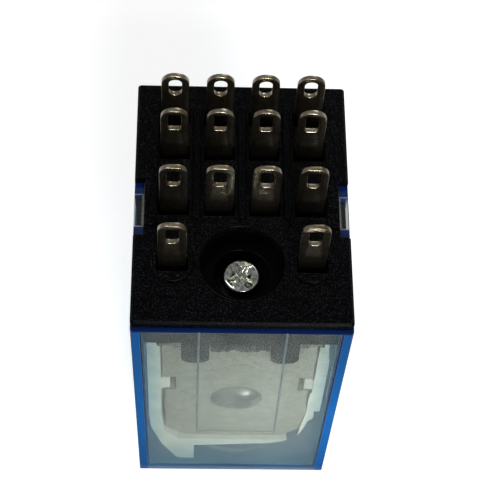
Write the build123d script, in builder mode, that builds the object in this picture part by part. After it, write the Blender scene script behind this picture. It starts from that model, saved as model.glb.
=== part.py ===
"""A four-pole plug-in relay: clear cover, black terminal base, coil, yoke, armature and contacts.

The closed end of the cover lies on z = 0 with the origin at its centre. +Z runs to the terminal
blades, X across the width of the relay and Y along its length. The coil terminals, and the end of
the yoke in which the coil core is riveted, are at -Y. The contacts are at +Y. All sizes are in
millimetres.
"""

import math
import os

from build123d import *

# ---- Envelope ----
RELAY_WIDTH = 20.8
COVER_LENGTH = 28.1
RIM_Z = 34.1
BASE_FACE_Z = 35.0
COVER_DRAFT = 0.4
COVER_WALL = 0.95
COVER_FLOOR = 1.1
COVER_CORNER = 0.35
PANEL_X = 0.1
PANEL_WIDTH = 8.2
PANEL_LOW_Z = 11.2
PANEL_HIGH_Z = 35.2
GROOVE_WIDTH = 0.22
GROOVE_DEPTH = 0.1

# ---- Terminal base ----
LIP_LENGTH = 27.1
LIP_CHAMFER = 0.22
PLUG_CLEARANCE = 0.1
PLUG_BOTTOM_Z = 31.2
YOKE_SEAT_Z = 30.0
NOTCH_Y = -0.92
NOTCH_LENGTH = 6.36
NOTCH_DEPTH = 1.0
WINDOW_Y = -0.85
WINDOW_LENGTH = 4.0
WINDOW_TOP_Z = 33.1
WINDOW_HEIGHT = 1.9
SEAT_WIDTH = 11.2
SEAT_FRONT_WIDTH = 8.6
SEAT_FRONT_Y = -12.6
SEAT_REAR_Y = 2.3
RECESS_Y = -7.05
RECESS_RADIUS = 4.0
RECESS_FLOOR_Z = 32.8
SCREW_SEAT_Z = 31.4
SCREW_WELL_RADIUS = 2.65
RIB_PITCH = 4.4
RIB_Y = 4.2
RIB_LENGTH = 13.1
RIB_WIDTH = 0.72
RIB_HEIGHT = 0.5
PANEL_RAISE = 0.3
SMALL_EDGE = 0.12
SIDE_PANEL_X = 8.78
SIDE_PANEL_Y = 4.3
SIDE_PANEL_WIDTH = 1.2
SIDE_PANEL_LENGTH = 14.9
COIL_DISC_Y = -7.1
COIL_DISC_RADIUS = 2.15
TAB_X = 4.3
TAB_WIDTH = 2.7
TAB_THICK = 0.7
TAB_BACK_Y = -12.25
TAB_BOTTOM_Z = 26.9
POST_WIDTH = 1.8
POST_THICK = 1.2

# ---- Terminals ----
BLADE_WIDTH = 2.7
BLADE_THICK = 0.5
BLADE_PROUD = 6.4
TAIL_WIDTH = 2.2
COLUMN_PITCH = 4.4
ROW_NC = 10.0
ROW_NO = 5.9
ROW_COM = -0.5
ROW_COIL = -6.8
COM_TAIL_Y = 4.65
COM_TAIL_END_Z = 28.9
COIL_TAIL_Y = -12.55
COIL_TAIL_END_Z = 30.35
STRIP_Z = 31.55
CONTACT_END_Z = 8.3
EYE_WIDTH = 1.28
EYE_HEIGHT = 2.4
EYE_BELOW_TIP = 1.78
POCKET_WIDTH = 3.0
POCKET_FRONT = 1.1
POCKET_DEPTH = 2.2

# ---- Contacts ----
CONTACT_Z = 10.0
CONTACT_RADIUS = 0.8
FIXED_BUTTON = 0.6
RIVET_RADIUS = 0.4
NC_GAP = 0.06
MOVING_THICK = 1.0
SPRING_THICK = 0.2
SPRING_WIDTH = 2.0
SPRING_TOP_Z = 25.6
SPRING_END_Z = 8.9

# ---- Magnet ----
CORE_Z = 17.1
CORE_RADIUS = 2.5
RIVET_END_RADIUS = 2.65
RIVET_END_PROUD = 0.75
RIVET_END_EDGE = 0.15
RIVET_END_FLAT = 0.5
POLE_RADIUS = 3.5
POLE_FACE_Y = 1.5
POLE_THICK = 0.7
YOKE_THICK = 1.5
YOKE_FACE_Y = -12.1
YOKE_HALF_WIDTH = 7.5
YOKE_END_Z = 7.2
YOKE_STEP_Z = 10.8
YOKE_STEP_DEPTH = 0.2
YOKE_CORNER_CUT = 2.0
YOKE_BEND = 1.9
YOKE_EDGE_Y = 2.5
TONGUE_HALF_WIDTH = 2.8
TONGUE_END_Y = 4.2
YOKE_NOTCH_X = 6.15
YOKE_NOTCH_LOW_Z = 19.0
YOKE_NOTCH_HIGH_Z = 21.9
FLANGE_THICK = 0.8
FLANGE_HALF_WIDTH = 8.6
FLANGE_LOW_Z = 7.6
FLANGE_HIGH_Z = 27.8
FRONT_FLANGE_Y = -10.5
REAR_FLANGE_Y = 0.0
TUBE_RADIUS = 3.3
WINDING_RADIUS = 8.1
TAPE_THICK = 0.15
ARM_FACE_Y = -12.4
LIP_BACK_Y = -11.7
LIP_TOP_Z = 30.2
ARM_X = 8.3
ARM_WIDTH = 1.3
ARM_LOW_Z = 13.0
ARM_HIGH_Z = 25.0
HOOK_X = 7.3
HOOK_WIDTH = 1.1
HOOK_Z = 20.5
HOOK_HEIGHT = 2.2

# ---- Armature and carrier ----
ARMATURE_FACE_Y = 2.65
ARMATURE_THICK = 1.5
ARMATURE_HALF_WIDTH = 6.5
ARMATURE_TOP_Z = 30.4
ARMATURE_LOW_Z = 12.4
CARRIER_BAR_Y = 8.65
CARRIER_LOW_Z = 20.4
CARRIER_HIGH_Z = 23.6
PIGTAIL_RADIUS = 0.3
COIL_LEAD_RADIUS = 0.18
RETURN_SPRING_Z = 27.0
RETURN_SPRING_RADIUS = 0.8
RETURN_SPRING_WALL = 0.3
SPRING_POST_Y = 11.9

# ---- Base screw ----
SCREW_HEAD_RADIUS = 1.97
SCREW_HEAD_HEIGHT = 1.35
SCREW_EDGE_HEIGHT = 0.9
SCREW_RADIUS = 1.2
SCREW_LENGTH = 3.4

COLUMNS = [COLUMN_PITCH * (i - 1.5) for i in range(4)]
COIL_COLUMNS = [-1.5 * COLUMN_PITCH, 1.5 * COLUMN_PITCH]
ARMATURE_BACK_Y = ARMATURE_FACE_Y + ARMATURE_THICK

os.makedirs("parts", exist_ok=True)


def save(solid, name, colour):
    """Label one finished piece, colour it for the plain view and write its STEP file."""
    solid.label = name
    solid.color = Color(colour)
    export_step(solid, f"parts/{name}.step")


def across(y):
    """The plane parallel to X and Z that stands at this y, facing -Y."""
    return Plane.XZ.offset(-y)


def blade_outline(x, low_z, tip_radius):
    """Draw a blade's outline, in the current sketch on an XZ plane, from low_z to its rounded tip."""
    tip_z = BASE_FACE_Z + BLADE_PROUD
    with Locations((x, (low_z + tip_z) / 2)):
        Rectangle(BLADE_WIDTH, tip_z - low_z)
    fillet(vertices().sort_by(Axis.Y)[-2:], radius=tip_radius)


def eye(x, corner):
    """Cut the solder eye out of the blade outline in the current sketch."""
    with Locations((x, BASE_FACE_Z + BLADE_PROUD - EYE_BELOW_TIP)):
        RectangleRounded(EYE_WIDTH, EYE_HEIGHT, corner, mode=Mode.SUBTRACT)


# ---- Clear cover ----
with BuildPart() as cover:
    with BuildSketch(Plane.XY.offset(RIM_Z)):
        RectangleRounded(RELAY_WIDTH, COVER_LENGTH, COVER_CORNER)
    extrude(amount=-RIM_Z, taper=COVER_DRAFT)
    fillet(cover.faces().sort_by(Axis.Z)[0].edges(), radius=0.3)
    with BuildSketch(Plane.XY.offset(RIM_Z)):
        RectangleRounded(RELAY_WIDTH - 2 * COVER_WALL, COVER_LENGTH - 2 * COVER_WALL, COVER_CORNER)
    extrude(amount=COVER_FLOOR - RIM_Z, taper=COVER_DRAFT, mode=Mode.SUBTRACT)
    # A window through each long wall, just under the rim, takes a latch of the base.
    with BuildSketch(Plane.YZ):
        with Locations((WINDOW_Y, WINDOW_TOP_Z - WINDOW_HEIGHT / 2)):
            Rectangle(WINDOW_LENGTH, WINDOW_HEIGHT)
    extrude(amount=RELAY_WIDTH, both=True, mode=Mode.SUBTRACT)
    # A fine V groove outlines a panel on each end wall, square to the drafted wall and open at the rim.
    for side in (-1, 1):
        wall = Plane(
            origin=(0, side * COVER_LENGTH / 2, RIM_Z),
            x_dir=(-side, 0, 0),
            z_dir=(0, side, -math.tan(math.radians(COVER_DRAFT))),
        )
        panel_height = PANEL_HIGH_Z - PANEL_LOW_Z
        panel_place = (-side * PANEL_X, (PANEL_HIGH_Z + PANEL_LOW_Z) / 2 - RIM_Z)
        groove_slope = math.degrees(math.atan(GROOVE_WIDTH / 2 / GROOVE_DEPTH))
        with BuildSketch(wall):
            with Locations(panel_place):
                Rectangle(PANEL_WIDTH + GROOVE_WIDTH, panel_height + GROOVE_WIDTH)
        outer = extrude(amount=-GROOVE_DEPTH, taper=groove_slope, mode=Mode.PRIVATE)
        with BuildSketch(wall):
            with Locations(panel_place):
                Rectangle(PANEL_WIDTH - GROOVE_WIDTH, panel_height - GROOVE_WIDTH)
        inner = extrude(amount=-GROOVE_DEPTH, taper=-groove_slope, mode=Mode.PRIVATE)
        add(outer - inner, mode=Mode.SUBTRACT)
save(cover.part, "cover", "LightSkyBlue")

# ---- Terminal base ----
with BuildPart() as base:
    with BuildSketch(Plane.XY.offset(RIM_Z)):
        RectangleRounded(RELAY_WIDTH, LIP_LENGTH, COVER_CORNER)
    extrude(amount=BASE_FACE_Z - RIM_Z)
    chamfer(base.faces().sort_by(Axis.Z)[-1].edges(), length=LIP_CHAMFER)
    # The plug below the lip fills the mouth of the cover.
    plug_width = RELAY_WIDTH - 2 * (COVER_WALL + PLUG_CLEARANCE)
    plug_length = COVER_LENGTH - 2 * (COVER_WALL + PLUG_CLEARANCE)
    with BuildSketch(Plane.XY.offset(PLUG_BOTTOM_Z)):
        RectangleRounded(plug_width, plug_length, COVER_CORNER)
    extrude(amount=RIM_Z - PLUG_BOTTOM_Z)
    # Seat of the yoke, with a wider front end that closes the gap between the two tabs.
    with BuildSketch(Plane.XY.offset(YOKE_SEAT_Z)):
        with Locations((0, (YOKE_FACE_Y + SEAT_REAR_Y) / 2)):
            Rectangle(SEAT_WIDTH, SEAT_REAR_Y - YOKE_FACE_Y)
        with Locations((0, (SEAT_FRONT_Y + YOKE_FACE_Y + 0.1) / 2)):
            Rectangle(SEAT_FRONT_WIDTH, YOKE_FACE_Y + 0.1 - SEAT_FRONT_Y)
    extrude(amount=PLUG_BOTTOM_Z - YOKE_SEAT_Z)
    # Two rounded tabs hang down in front of the yoke.
    for side in (-1, 1):
        with BuildSketch(across(TAB_BACK_Y)):
            with Locations((side * TAB_X, (TAB_BOTTOM_Z + PLUG_BOTTOM_Z + 1) / 2)):
                Rectangle(TAB_WIDTH, PLUG_BOTTOM_Z + 1 - TAB_BOTTOM_Z)
            fillet(vertices().sort_by(Axis.Y)[:2], radius=1.0)
        extrude(amount=TAB_THICK)
    # A sloping latch on each long side, caught in the window of the cover.
    for side in (-1, 1):
        with BuildSketch(Plane.XZ.offset(-WINDOW_Y)) as latch:
            with BuildLine():
                Polyline(
                    (side * 9.0, 31.3), (side * 9.6, 31.5), (side * 10.15, 32.5),
                    (side * 10.15, 32.95), (side * 9.0, 32.95), close=True,
                )
            make_face()
        extrude(amount=(WINDOW_LENGTH - 0.5) / 2, both=True)
    # Notches in the lip over the latches.
    with BuildSketch(Plane.XY.offset(RIM_Z)):
        with Locations(*[(side * RELAY_WIDTH / 2, NOTCH_Y) for side in (-1, 1)]):
            Rectangle(2 * NOTCH_DEPTH, NOTCH_LENGTH)
    extrude(amount=2, mode=Mode.SUBTRACT)
    # Low ribs between the columns of blades, raised side panels and bosses at the coil blades.
    with BuildSketch(Plane.XY.offset(BASE_FACE_Z)):
        with Locations(*[(x, RIB_Y) for x in (-RIB_PITCH, 0, RIB_PITCH)]):
            SlotOverall(RIB_LENGTH, RIB_WIDTH, rotation=90)
    extrude(amount=RIB_HEIGHT)
    fillet(base.faces().filter_by(Plane.XY).group_by(Axis.Z)[-1].edges(), radius=SMALL_EDGE)
    with BuildSketch(Plane.XY.offset(BASE_FACE_Z)):
        with Locations(*[(side * SIDE_PANEL_X, SIDE_PANEL_Y) for side in (-1, 1)]):
            RectangleRounded(SIDE_PANEL_WIDTH, SIDE_PANEL_LENGTH, 0.5)
        with Locations(*[(x, COIL_DISC_Y) for x in COIL_COLUMNS]):
            Circle(COIL_DISC_RADIUS)
    extrude(amount=PANEL_RAISE)
    raised = base.faces().filter_by(Plane.XY).filter_by_position(
        Axis.Z, BASE_FACE_Z + PANEL_RAISE - 0.01, BASE_FACE_Z + PANEL_RAISE + 0.01
    )
    fillet(raised.edges(), radius=SMALL_EDGE)
    # Recess and well of the base screw.
    with BuildSketch(Plane.XY.offset(RECESS_FLOOR_Z)):
        with Locations((0, RECESS_Y)):
            Circle(RECESS_RADIUS)
    extrude(amount=5, mode=Mode.SUBTRACT)
    with BuildSketch(Plane.XY.offset(SCREW_SEAT_Z)):
        with Locations((0, RECESS_Y)):
            Circle(SCREW_WELL_RADIUS)
    extrude(amount=5, mode=Mode.SUBTRACT)
    rims = base.edges().filter_by(GeomType.CIRCLE).filter_by(
        lambda rim: abs(rim.arc_center.Y - RECESS_Y) < 0.01
        and rim.arc_center.X < 0.01
        and (abs(rim.arc_center.Z - BASE_FACE_Z) < 0.01 or abs(rim.arc_center.Z - RECESS_FLOOR_Z) < 0.01)
        and (rim.radius < 3 or rim.arc_center.Z > RECESS_FLOOR_Z + 1)
    )
    fillet(rims, radius=SMALL_EDGE)
    with BuildSketch(Plane.XY.offset(YOKE_SEAT_Z - 1)):
        with Locations((0, RECESS_Y)):
            Circle(SCREW_RADIUS + 0.1)
    extrude(amount=5, mode=Mode.SUBTRACT)
    # A pocket in front of each blade and the slot that the blade fills.
    blade_places = [(x, y) for y in (ROW_NC, ROW_NO, ROW_COM) for x in COLUMNS]
    blade_places += [(x, ROW_COIL) for x in COIL_COLUMNS]
    with BuildSketch(Plane.XY.offset(BASE_FACE_Z - POCKET_DEPTH)):
        with Locations(*[(x, y - POCKET_FRONT / 2) for x, y in blade_places]):
            RectangleRounded(POCKET_WIDTH, POCKET_FRONT + BLADE_THICK + 0.1, 0.2)
    extrude(amount=5, mode=Mode.SUBTRACT)
    with BuildSketch(Plane.XY.offset(YOKE_SEAT_Z - 1)):
        with Locations(*blade_places[:8]):
            Rectangle(BLADE_WIDTH + 0.06, BLADE_THICK + 0.06)
    extrude(amount=8, mode=Mode.SUBTRACT)
    with BuildSketch(Plane.XY.offset(STRIP_Z - BLADE_THICK / 2)):
        with Locations(*blade_places[8:]):
            Rectangle(BLADE_WIDTH + 0.06, BLADE_THICK + 0.06)
    extrude(amount=5, mode=Mode.SUBTRACT)
    # Channels under the base for the common strips and the coil strips.
    channel_top = STRIP_Z + BLADE_THICK / 2 + 0.03
    with BuildSketch(Plane.XY.offset(YOKE_SEAT_Z)):
        for x in COLUMNS:
            with Locations((x, (ROW_COM + COM_TAIL_Y) / 2)):
                Rectangle(TAIL_WIDTH + 0.06, COM_TAIL_Y - ROW_COM + BLADE_THICK + 0.06)
        for x in COIL_COLUMNS:
            with Locations((x, (ROW_COIL + COIL_TAIL_Y) / 2)):
                Rectangle(TAIL_WIDTH + 0.06, ROW_COIL - COIL_TAIL_Y + BLADE_THICK + 0.06)
    extrude(amount=channel_top - YOKE_SEAT_Z, mode=Mode.SUBTRACT)
    # Post that holds the far end of the return spring.
    with BuildSketch(Plane.XY.offset(RETURN_SPRING_Z - 1.2)):
        with Locations((0, SPRING_POST_Y)):
            RectangleRounded(POST_WIDTH, POST_THICK, 0.2)
    extrude(amount=PLUG_BOTTOM_Z - RETURN_SPRING_Z + 1.2)
save(base.part, "terminal_base", "DimGray")


# ---- Terminals ----
def straight_terminal(x, y, eye_corner):
    """A blade that runs straight down inside the relay, with a rivet hole for its fixed contact."""
    with BuildPart() as terminal:
        with BuildSketch(across(y)):
            blade_outline(x, PLUG_BOTTOM_Z, 1.28)
            with Locations((x, (CONTACT_END_Z + PLUG_BOTTOM_Z) / 2)):
                Rectangle(TAIL_WIDTH, PLUG_BOTTOM_Z - CONTACT_END_Z)
            eye(x, eye_corner)
            with Locations((x, CONTACT_Z)):
                Circle(RIVET_RADIUS, mode=Mode.SUBTRACT)
        extrude(amount=BLADE_THICK / 2, both=True)
    return terminal.part


def bent_terminal(x, y, tail_y, tail_end_z):
    """A blade whose inner strip turns under the base face and runs to a tail at tail_y."""
    with BuildPart() as terminal:
        with BuildSketch(across(y)):
            blade_outline(x, STRIP_Z - BLADE_THICK / 2, 1.05)
            eye(x, 0.42)
        extrude(amount=BLADE_THICK / 2, both=True)
        half = BLADE_THICK / 2
        with BuildSketch(Plane.YZ.offset(x)):
            with Locations(((y + tail_y) / 2, STRIP_Z)):
                Rectangle(abs(tail_y - y) + BLADE_THICK, BLADE_THICK)
            with Locations((tail_y, (tail_end_z + STRIP_Z + half) / 2)):
                Rectangle(BLADE_THICK, STRIP_Z + half - tail_end_z)
        extrude(amount=TAIL_WIDTH / 2, both=True)
    return terminal.part


for number, column_x in enumerate(COLUMNS, start=1):
    save(straight_terminal(column_x, ROW_NC, 0.6), f"terminal_nc_{number}", "Tan")
    save(straight_terminal(column_x, ROW_NO, 0.25), f"terminal_no_{number}", "Tan")
    save(bent_terminal(column_x, ROW_COM, COM_TAIL_Y, COM_TAIL_END_Z), f"terminal_com_{number}", "Tan")
for number, column_x in enumerate(COIL_COLUMNS, start=1):
    save(bent_terminal(column_x, ROW_COIL, COIL_TAIL_Y, COIL_TAIL_END_Z), f"terminal_coil_{number}", "Tan")


# ---- Contacts ----
def fixed_contact(x, y, side):
    """A contact button on the +Y (side 1) or -Y (side -1) face of a fixed blade, riveted through it."""
    with BuildPart() as contact:
        face_y = y + side * BLADE_THICK / 2
        with BuildSketch(across(face_y)):
            with Locations((x, CONTACT_Z)):
                Circle(CONTACT_RADIUS)
        extrude(amount=-side * FIXED_BUTTON)
        chamfer(contact.faces().sort_by(Axis.Y)[-1 if side > 0 else 0].edges(), length=0.12)
        with BuildSketch(across(face_y)):
            with Locations((x, CONTACT_Z)):
                Circle(RIVET_RADIUS)
        extrude(amount=side * BLADE_THICK)
    return contact.part


nc_face_y = ROW_NC - BLADE_THICK / 2 - FIXED_BUTTON
moving_face_y = nc_face_y - NC_GAP
spring_y = moving_face_y - MOVING_THICK / 2


def moving_contact(x):
    """A double-faced button riveted through the free end of a contact spring."""
    with BuildPart() as contact:
        with BuildSketch(across(moving_face_y)):
            with Locations((x, CONTACT_Z)):
                Circle(CONTACT_RADIUS)
        extrude(amount=MOVING_THICK)
        chamfer(contact.edges().filter_by(GeomType.CIRCLE), length=0.12)
        groove = (MOVING_THICK - SPRING_THICK) / 2
        with BuildSketch(across(moving_face_y - groove)):
            with Locations((x, CONTACT_Z)):
                Circle(CONTACT_RADIUS + 0.1)
                Circle(RIVET_RADIUS, mode=Mode.SUBTRACT)
        extrude(amount=SPRING_THICK, mode=Mode.SUBTRACT)
    return contact.part


def contact_spring(x):
    """A leaf that carries a moving contact: wide where it is held, narrow at its free end."""
    with BuildPart() as leaf:
        with BuildSketch(across(spring_y)):
            with BuildLine():
                Polyline(
                    (x - SPRING_WIDTH / 2, SPRING_TOP_Z), (x + SPRING_WIDTH / 2, SPRING_TOP_Z),
                    (x + SPRING_WIDTH / 2, 18.0), (x + 0.75, 15.0), (x + 0.75, SPRING_END_Z),
                    (x - 0.75, SPRING_END_Z), (x - 0.75, 15.0), (x - SPRING_WIDTH / 2, 18.0), close=True,
                )
            make_face()
            fillet(vertices().sort_by(Axis.Y)[:2], radius=0.6)
            with Locations((x, CONTACT_Z)):
                Circle(RIVET_RADIUS, mode=Mode.SUBTRACT)
        extrude(amount=SPRING_THICK / 2, both=True)
    return leaf.part


def lead(points, radii, wire_radius):
    """A round lead whose centre line follows the points, with an arc of each radius at each corner."""
    with BuildPart() as wire:
        with BuildLine() as route:
            FilletPolyline(*points, radius=radii)
        with BuildSketch(Plane(origin=route.line @ 0, z_dir=route.line % 0)):
            Circle(wire_radius)
        sweep(path=route.line)
    return wire.part


def pigtail(x):
    """The braided lead from a common tail, round the open contact's blade, to the root of a spring."""
    side = 1 if x > 0 else -1
    points = [
        (x, 5.25, 29.3), (x + side * 2.1, 5.3, 28.3), (x + side * 2.1, 7.2, 26.9),
        (x + side * 0.6, 8.15, 25.4), (x + side * 0.4, 8.17, 24.0),
    ]
    return lead(points, [1.2, 1.4, 1.2], PIGTAIL_RADIUS)


def coil_lead(side):
    """The lead from a coil tail, past the edge of the yoke and over the flange, to the winding."""
    points = [
        (side * 7.2, -12.1, 30.75), (side * 7.85, -11.25, 30.55), (side * 8.15, -10.55, 28.6),
        (side * 7.8, -9.3, 25.2), (side * 6.8, -8.9, 22.2),
    ]
    return lead(points, [0.55, 2.5, 2.5], COIL_LEAD_RADIUS)


for number, column_x in enumerate(COLUMNS, start=1):
    save(fixed_contact(column_x, ROW_NC, -1), f"contact_nc_{number}", "Silver")
    save(fixed_contact(column_x, ROW_NO, 1), f"contact_no_{number}", "Silver")
    save(moving_contact(column_x), f"contact_moving_{number}", "Silver")
    save(contact_spring(column_x), f"contact_spring_{number}", "GoldenRod")
    save(pigtail(column_x), f"pigtail_{number}", "OrangeRed")
for number, lead_side in enumerate((-1, 1), start=1):
    save(coil_lead(lead_side), f"coil_lead_{number}", "OrangeRed")

# ---- Yoke ----
with BuildPart() as yoke:
    inner_bend = YOKE_BEND - YOKE_THICK
    inner_face_y = YOKE_FACE_Y + YOKE_THICK
    with BuildSketch(Plane.YZ):
        with BuildLine():
            Polyline(
                (YOKE_FACE_Y, YOKE_END_Z), (YOKE_FACE_Y, YOKE_SEAT_Z), (YOKE_EDGE_Y, YOKE_SEAT_Z),
                (YOKE_EDGE_Y, YOKE_SEAT_Z - YOKE_THICK), (inner_face_y, YOKE_SEAT_Z - YOKE_THICK),
                (inner_face_y, YOKE_END_Z), close=True,
            )
        make_face()
        fillet(vertices().group_by(Axis.X)[0].sort_by(Axis.Y)[-1:], radius=YOKE_BEND)
        inner_face = vertices().filter_by_position(Axis.X, inner_face_y - 0.01, inner_face_y + 0.01)
        fillet(inner_face.sort_by(Axis.Y)[-1:], radius=inner_bend)
    extrude(amount=YOKE_HALF_WIDTH, both=True)
    # Tongue at the free edge, on which the armature hangs.
    with BuildSketch(Plane.XY.offset(YOKE_SEAT_Z)):
        with Locations((0, (YOKE_EDGE_Y - 1 + TONGUE_END_Y) / 2)):
            Rectangle(2 * TONGUE_HALF_WIDTH, TONGUE_END_Y - YOKE_EDGE_Y + 1)
    extrude(amount=-YOKE_THICK)
    # Side notches that take the hooks of the bobbin, and the narrower stretch below them.
    with BuildSketch(across(YOKE_FACE_Y - 1)):
        for side in (-1, 1):
            with Locations((side * (YOKE_NOTCH_X + 1), (YOKE_NOTCH_LOW_Z + YOKE_NOTCH_HIGH_Z) / 2)):
                Rectangle(2, YOKE_NOTCH_HIGH_Z - YOKE_NOTCH_LOW_Z)
            with Locations((side * (YOKE_HALF_WIDTH + 0.75), (YOKE_NOTCH_LOW_Z + YOKE_END_Z - 1) / 2)):
                Rectangle(2, YOKE_NOTCH_LOW_Z - YOKE_END_Z + 1)
    extrude(amount=-(YOKE_THICK + 2), mode=Mode.SUBTRACT)
    chamfer(yoke.edges().filter_by(Axis.Y).group_by(Axis.Z)[0], length=YOKE_CORNER_CUT)
    # A coined step across the lower end.
    with BuildSketch(across(YOKE_FACE_Y)):
        with Locations((0, (YOKE_END_Z + YOKE_STEP_Z) / 2)):
            Rectangle(2 * YOKE_HALF_WIDTH + 1, YOKE_STEP_Z - YOKE_END_Z)
    extrude(amount=-YOKE_STEP_DEPTH, mode=Mode.SUBTRACT)
    with BuildSketch(across(YOKE_FACE_Y - 1)):
        with Locations((0, CORE_Z)):
            Circle(CORE_RADIUS + 0.02)
    extrude(amount=-(YOKE_THICK + 2), mode=Mode.SUBTRACT)
    with BuildSketch(Plane.XY.offset(YOKE_SEAT_Z + 1)):
        with Locations((0, RECESS_Y)):
            Circle(SCREW_RADIUS + 0.02)
    extrude(amount=-(YOKE_THICK + 2), mode=Mode.SUBTRACT)
save(yoke.part, "yoke", "SlateGray")

# ---- Coil core, riveted into the yoke ----
with BuildPart() as core:
    with BuildSketch(across(YOKE_FACE_Y)):
        with Locations((0, CORE_Z)):
            Circle(CORE_RADIUS)
    extrude(amount=-(POLE_FACE_Y - YOKE_FACE_Y))
    with BuildSketch(across(POLE_FACE_Y)):
        with Locations((0, CORE_Z)):
            Circle(POLE_RADIUS)
    extrude(amount=POLE_THICK)
    # Its riveted end: a low dome with a small flat at the middle.
    dome_y = YOKE_FACE_Y - RIVET_END_PROUD
    edge_y = YOKE_FACE_Y - RIVET_END_EDGE
    with BuildSketch(Plane.XY.offset(CORE_Z)):
        with BuildLine():
            Polyline(
                (RIVET_END_FLAT, dome_y), (0, dome_y), (0, YOKE_FACE_Y),
                (RIVET_END_RADIUS, YOKE_FACE_Y), (RIVET_END_RADIUS, edge_y),
            )
            ThreePointArc(
                (RIVET_END_RADIUS, edge_y), (RIVET_END_RADIUS * 0.72, dome_y + 0.26), (RIVET_END_FLAT, dome_y)
            )
        make_face()
    revolve(axis=Axis((0, 0, CORE_Z), (0, 1, 0)))
save(core.part, "core", "LightSlateGray")

# ---- Bobbin ----
flange_height = FLANGE_HIGH_Z - FLANGE_LOW_Z
flange_middle = (FLANGE_HIGH_Z + FLANGE_LOW_Z) / 2
with BuildPart() as bobbin:
    for flange_y in (FRONT_FLANGE_Y, REAR_FLANGE_Y):
        with BuildSketch(across(flange_y)):
            with Locations((0, flange_middle)):
                RectangleRounded(2 * FLANGE_HALF_WIDTH, flange_height, 1.2)
        extrude(amount=-FLANGE_THICK)
    # Cut-outs for the leads at the upper corners of the front flange.
    with BuildSketch(across(FRONT_FLANGE_Y - 1)):
        with Locations(*[(side * 8.2, 27.0) for side in (-1, 1)]):
            Rectangle(2.0, 3.6)
    extrude(amount=-2.0, mode=Mode.SUBTRACT)
    with BuildSketch(across(FRONT_FLANGE_Y + FLANGE_THICK / 2)):
        with Locations((0, CORE_Z)):
            Circle(TUBE_RADIUS)
    extrude(amount=-(REAR_FLANGE_Y - FRONT_FLANGE_Y - FLANGE_THICK / 2))
    # Arms that wrap the edges of the yoke, each with a tall lip in front and a hook in the yoke's notch.
    for side in (-1, 1):
        with BuildSketch(across(FRONT_FLANGE_Y + FLANGE_THICK)):
            with Locations((side * ARM_X, (ARM_LOW_Z + ARM_HIGH_Z) / 2)):
                Rectangle(ARM_WIDTH, ARM_HIGH_Z - ARM_LOW_Z)
        extrude(amount=FRONT_FLANGE_Y + FLANGE_THICK - LIP_BACK_Y)
        with BuildSketch(across(FRONT_FLANGE_Y - 0.1)):
            with Locations((side * HOOK_X, HOOK_Z)):
                Rectangle(HOOK_WIDTH, HOOK_HEIGHT)
        extrude(amount=FRONT_FLANGE_Y - 0.1 - YOKE_FACE_Y)
    # Left lip: straight down the edge of the yoke.
    with BuildSketch(across(LIP_BACK_Y)):
        with Locations((-ARM_X, (LIP_TOP_Z + ARM_LOW_Z) / 2)):
            Rectangle(ARM_WIDTH, LIP_TOP_Z - ARM_LOW_Z)
        fillet(vertices().sort_by(Axis.Y)[-2:], radius=0.4)
    extrude(amount=LIP_BACK_Y - ARM_FACE_Y)
    # Right lip: it leans in and narrows towards its lower end.
    with BuildSketch(across(LIP_BACK_Y)):
        with BuildLine():
            Polyline(
                (7.65, LIP_TOP_Z), (8.5, LIP_TOP_Z), (8.75, 24.1), (8.55, 18.9), (8.05, 13.9), (7.4, 13.9),
                (7.4, 18.7), (7.65, 19.2), close=True,
            )
        make_face()
        fillet(vertices().sort_by(Axis.Y)[-2:], radius=0.3)
    extrude(amount=LIP_BACK_Y - ARM_FACE_Y)
    # Its tip lies on the front of the yoke.
    with BuildSketch(across(YOKE_FACE_Y - 0.04)):
        with BuildLine():
            Polyline((7.4, 14.4), (8.1, 14.4), (8.0, 13.5), (7.2, 9.2), (6.9, 8.2), (6.95, 9.4), close=True)
        make_face()
    extrude(amount=YOKE_FACE_Y - 0.04 - ARM_FACE_Y)
    # Lower end of the left arm, the band below the yoke and the foot on the floor of the cover.
    with BuildSketch(across(FRONT_FLANGE_Y)):
        with BuildLine():
            Polyline(
                (-8.95, 13.2), (-7.65, 13.2), (-7.35, 9.3), (-6.0, 7.1), (5.8, 7.0), (5.2, 6.5), (3.4, 6.0),
                (-4.2, 5.3), (-4.2, 1.7), (-5.5, 1.7), (-6.1, 1.9), (-7.7, 5.6), (-8.8, 10.2), close=True,
            )
        make_face()
    extrude(amount=FRONT_FLANGE_Y - ARM_FACE_Y)
    with BuildSketch(across(YOKE_FACE_Y)):
        with Locations((0, CORE_Z)):
            Circle(CORE_RADIUS + 0.06)
    extrude(amount=-20, mode=Mode.SUBTRACT)
save(bobbin.part, "bobbin", "WhiteSmoke")


def sleeve(inner_radius, outer_radius, front_y, rear_y):
    """A ring round the core's axis, from front_y to rear_y."""
    with BuildPart() as ring:
        with BuildSketch(across(front_y)):
            with Locations((0, CORE_Z)):
                Circle(outer_radius)
                Circle(inner_radius, mode=Mode.SUBTRACT)
        extrude(amount=-(rear_y - front_y))
    return ring.part


winding_front_y = FRONT_FLANGE_Y + FLANGE_THICK + 0.03
winding_rear_y = REAR_FLANGE_Y - 0.03
winding = sleeve(TUBE_RADIUS + 0.02, WINDING_RADIUS, winding_front_y, winding_rear_y)
save(winding, "coil_winding", "Chocolate")
tape = sleeve(WINDING_RADIUS + 0.01, WINDING_RADIUS + TAPE_THICK, winding_front_y, winding_rear_y)
save(tape, "coil_tape", "Khaki")

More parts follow.
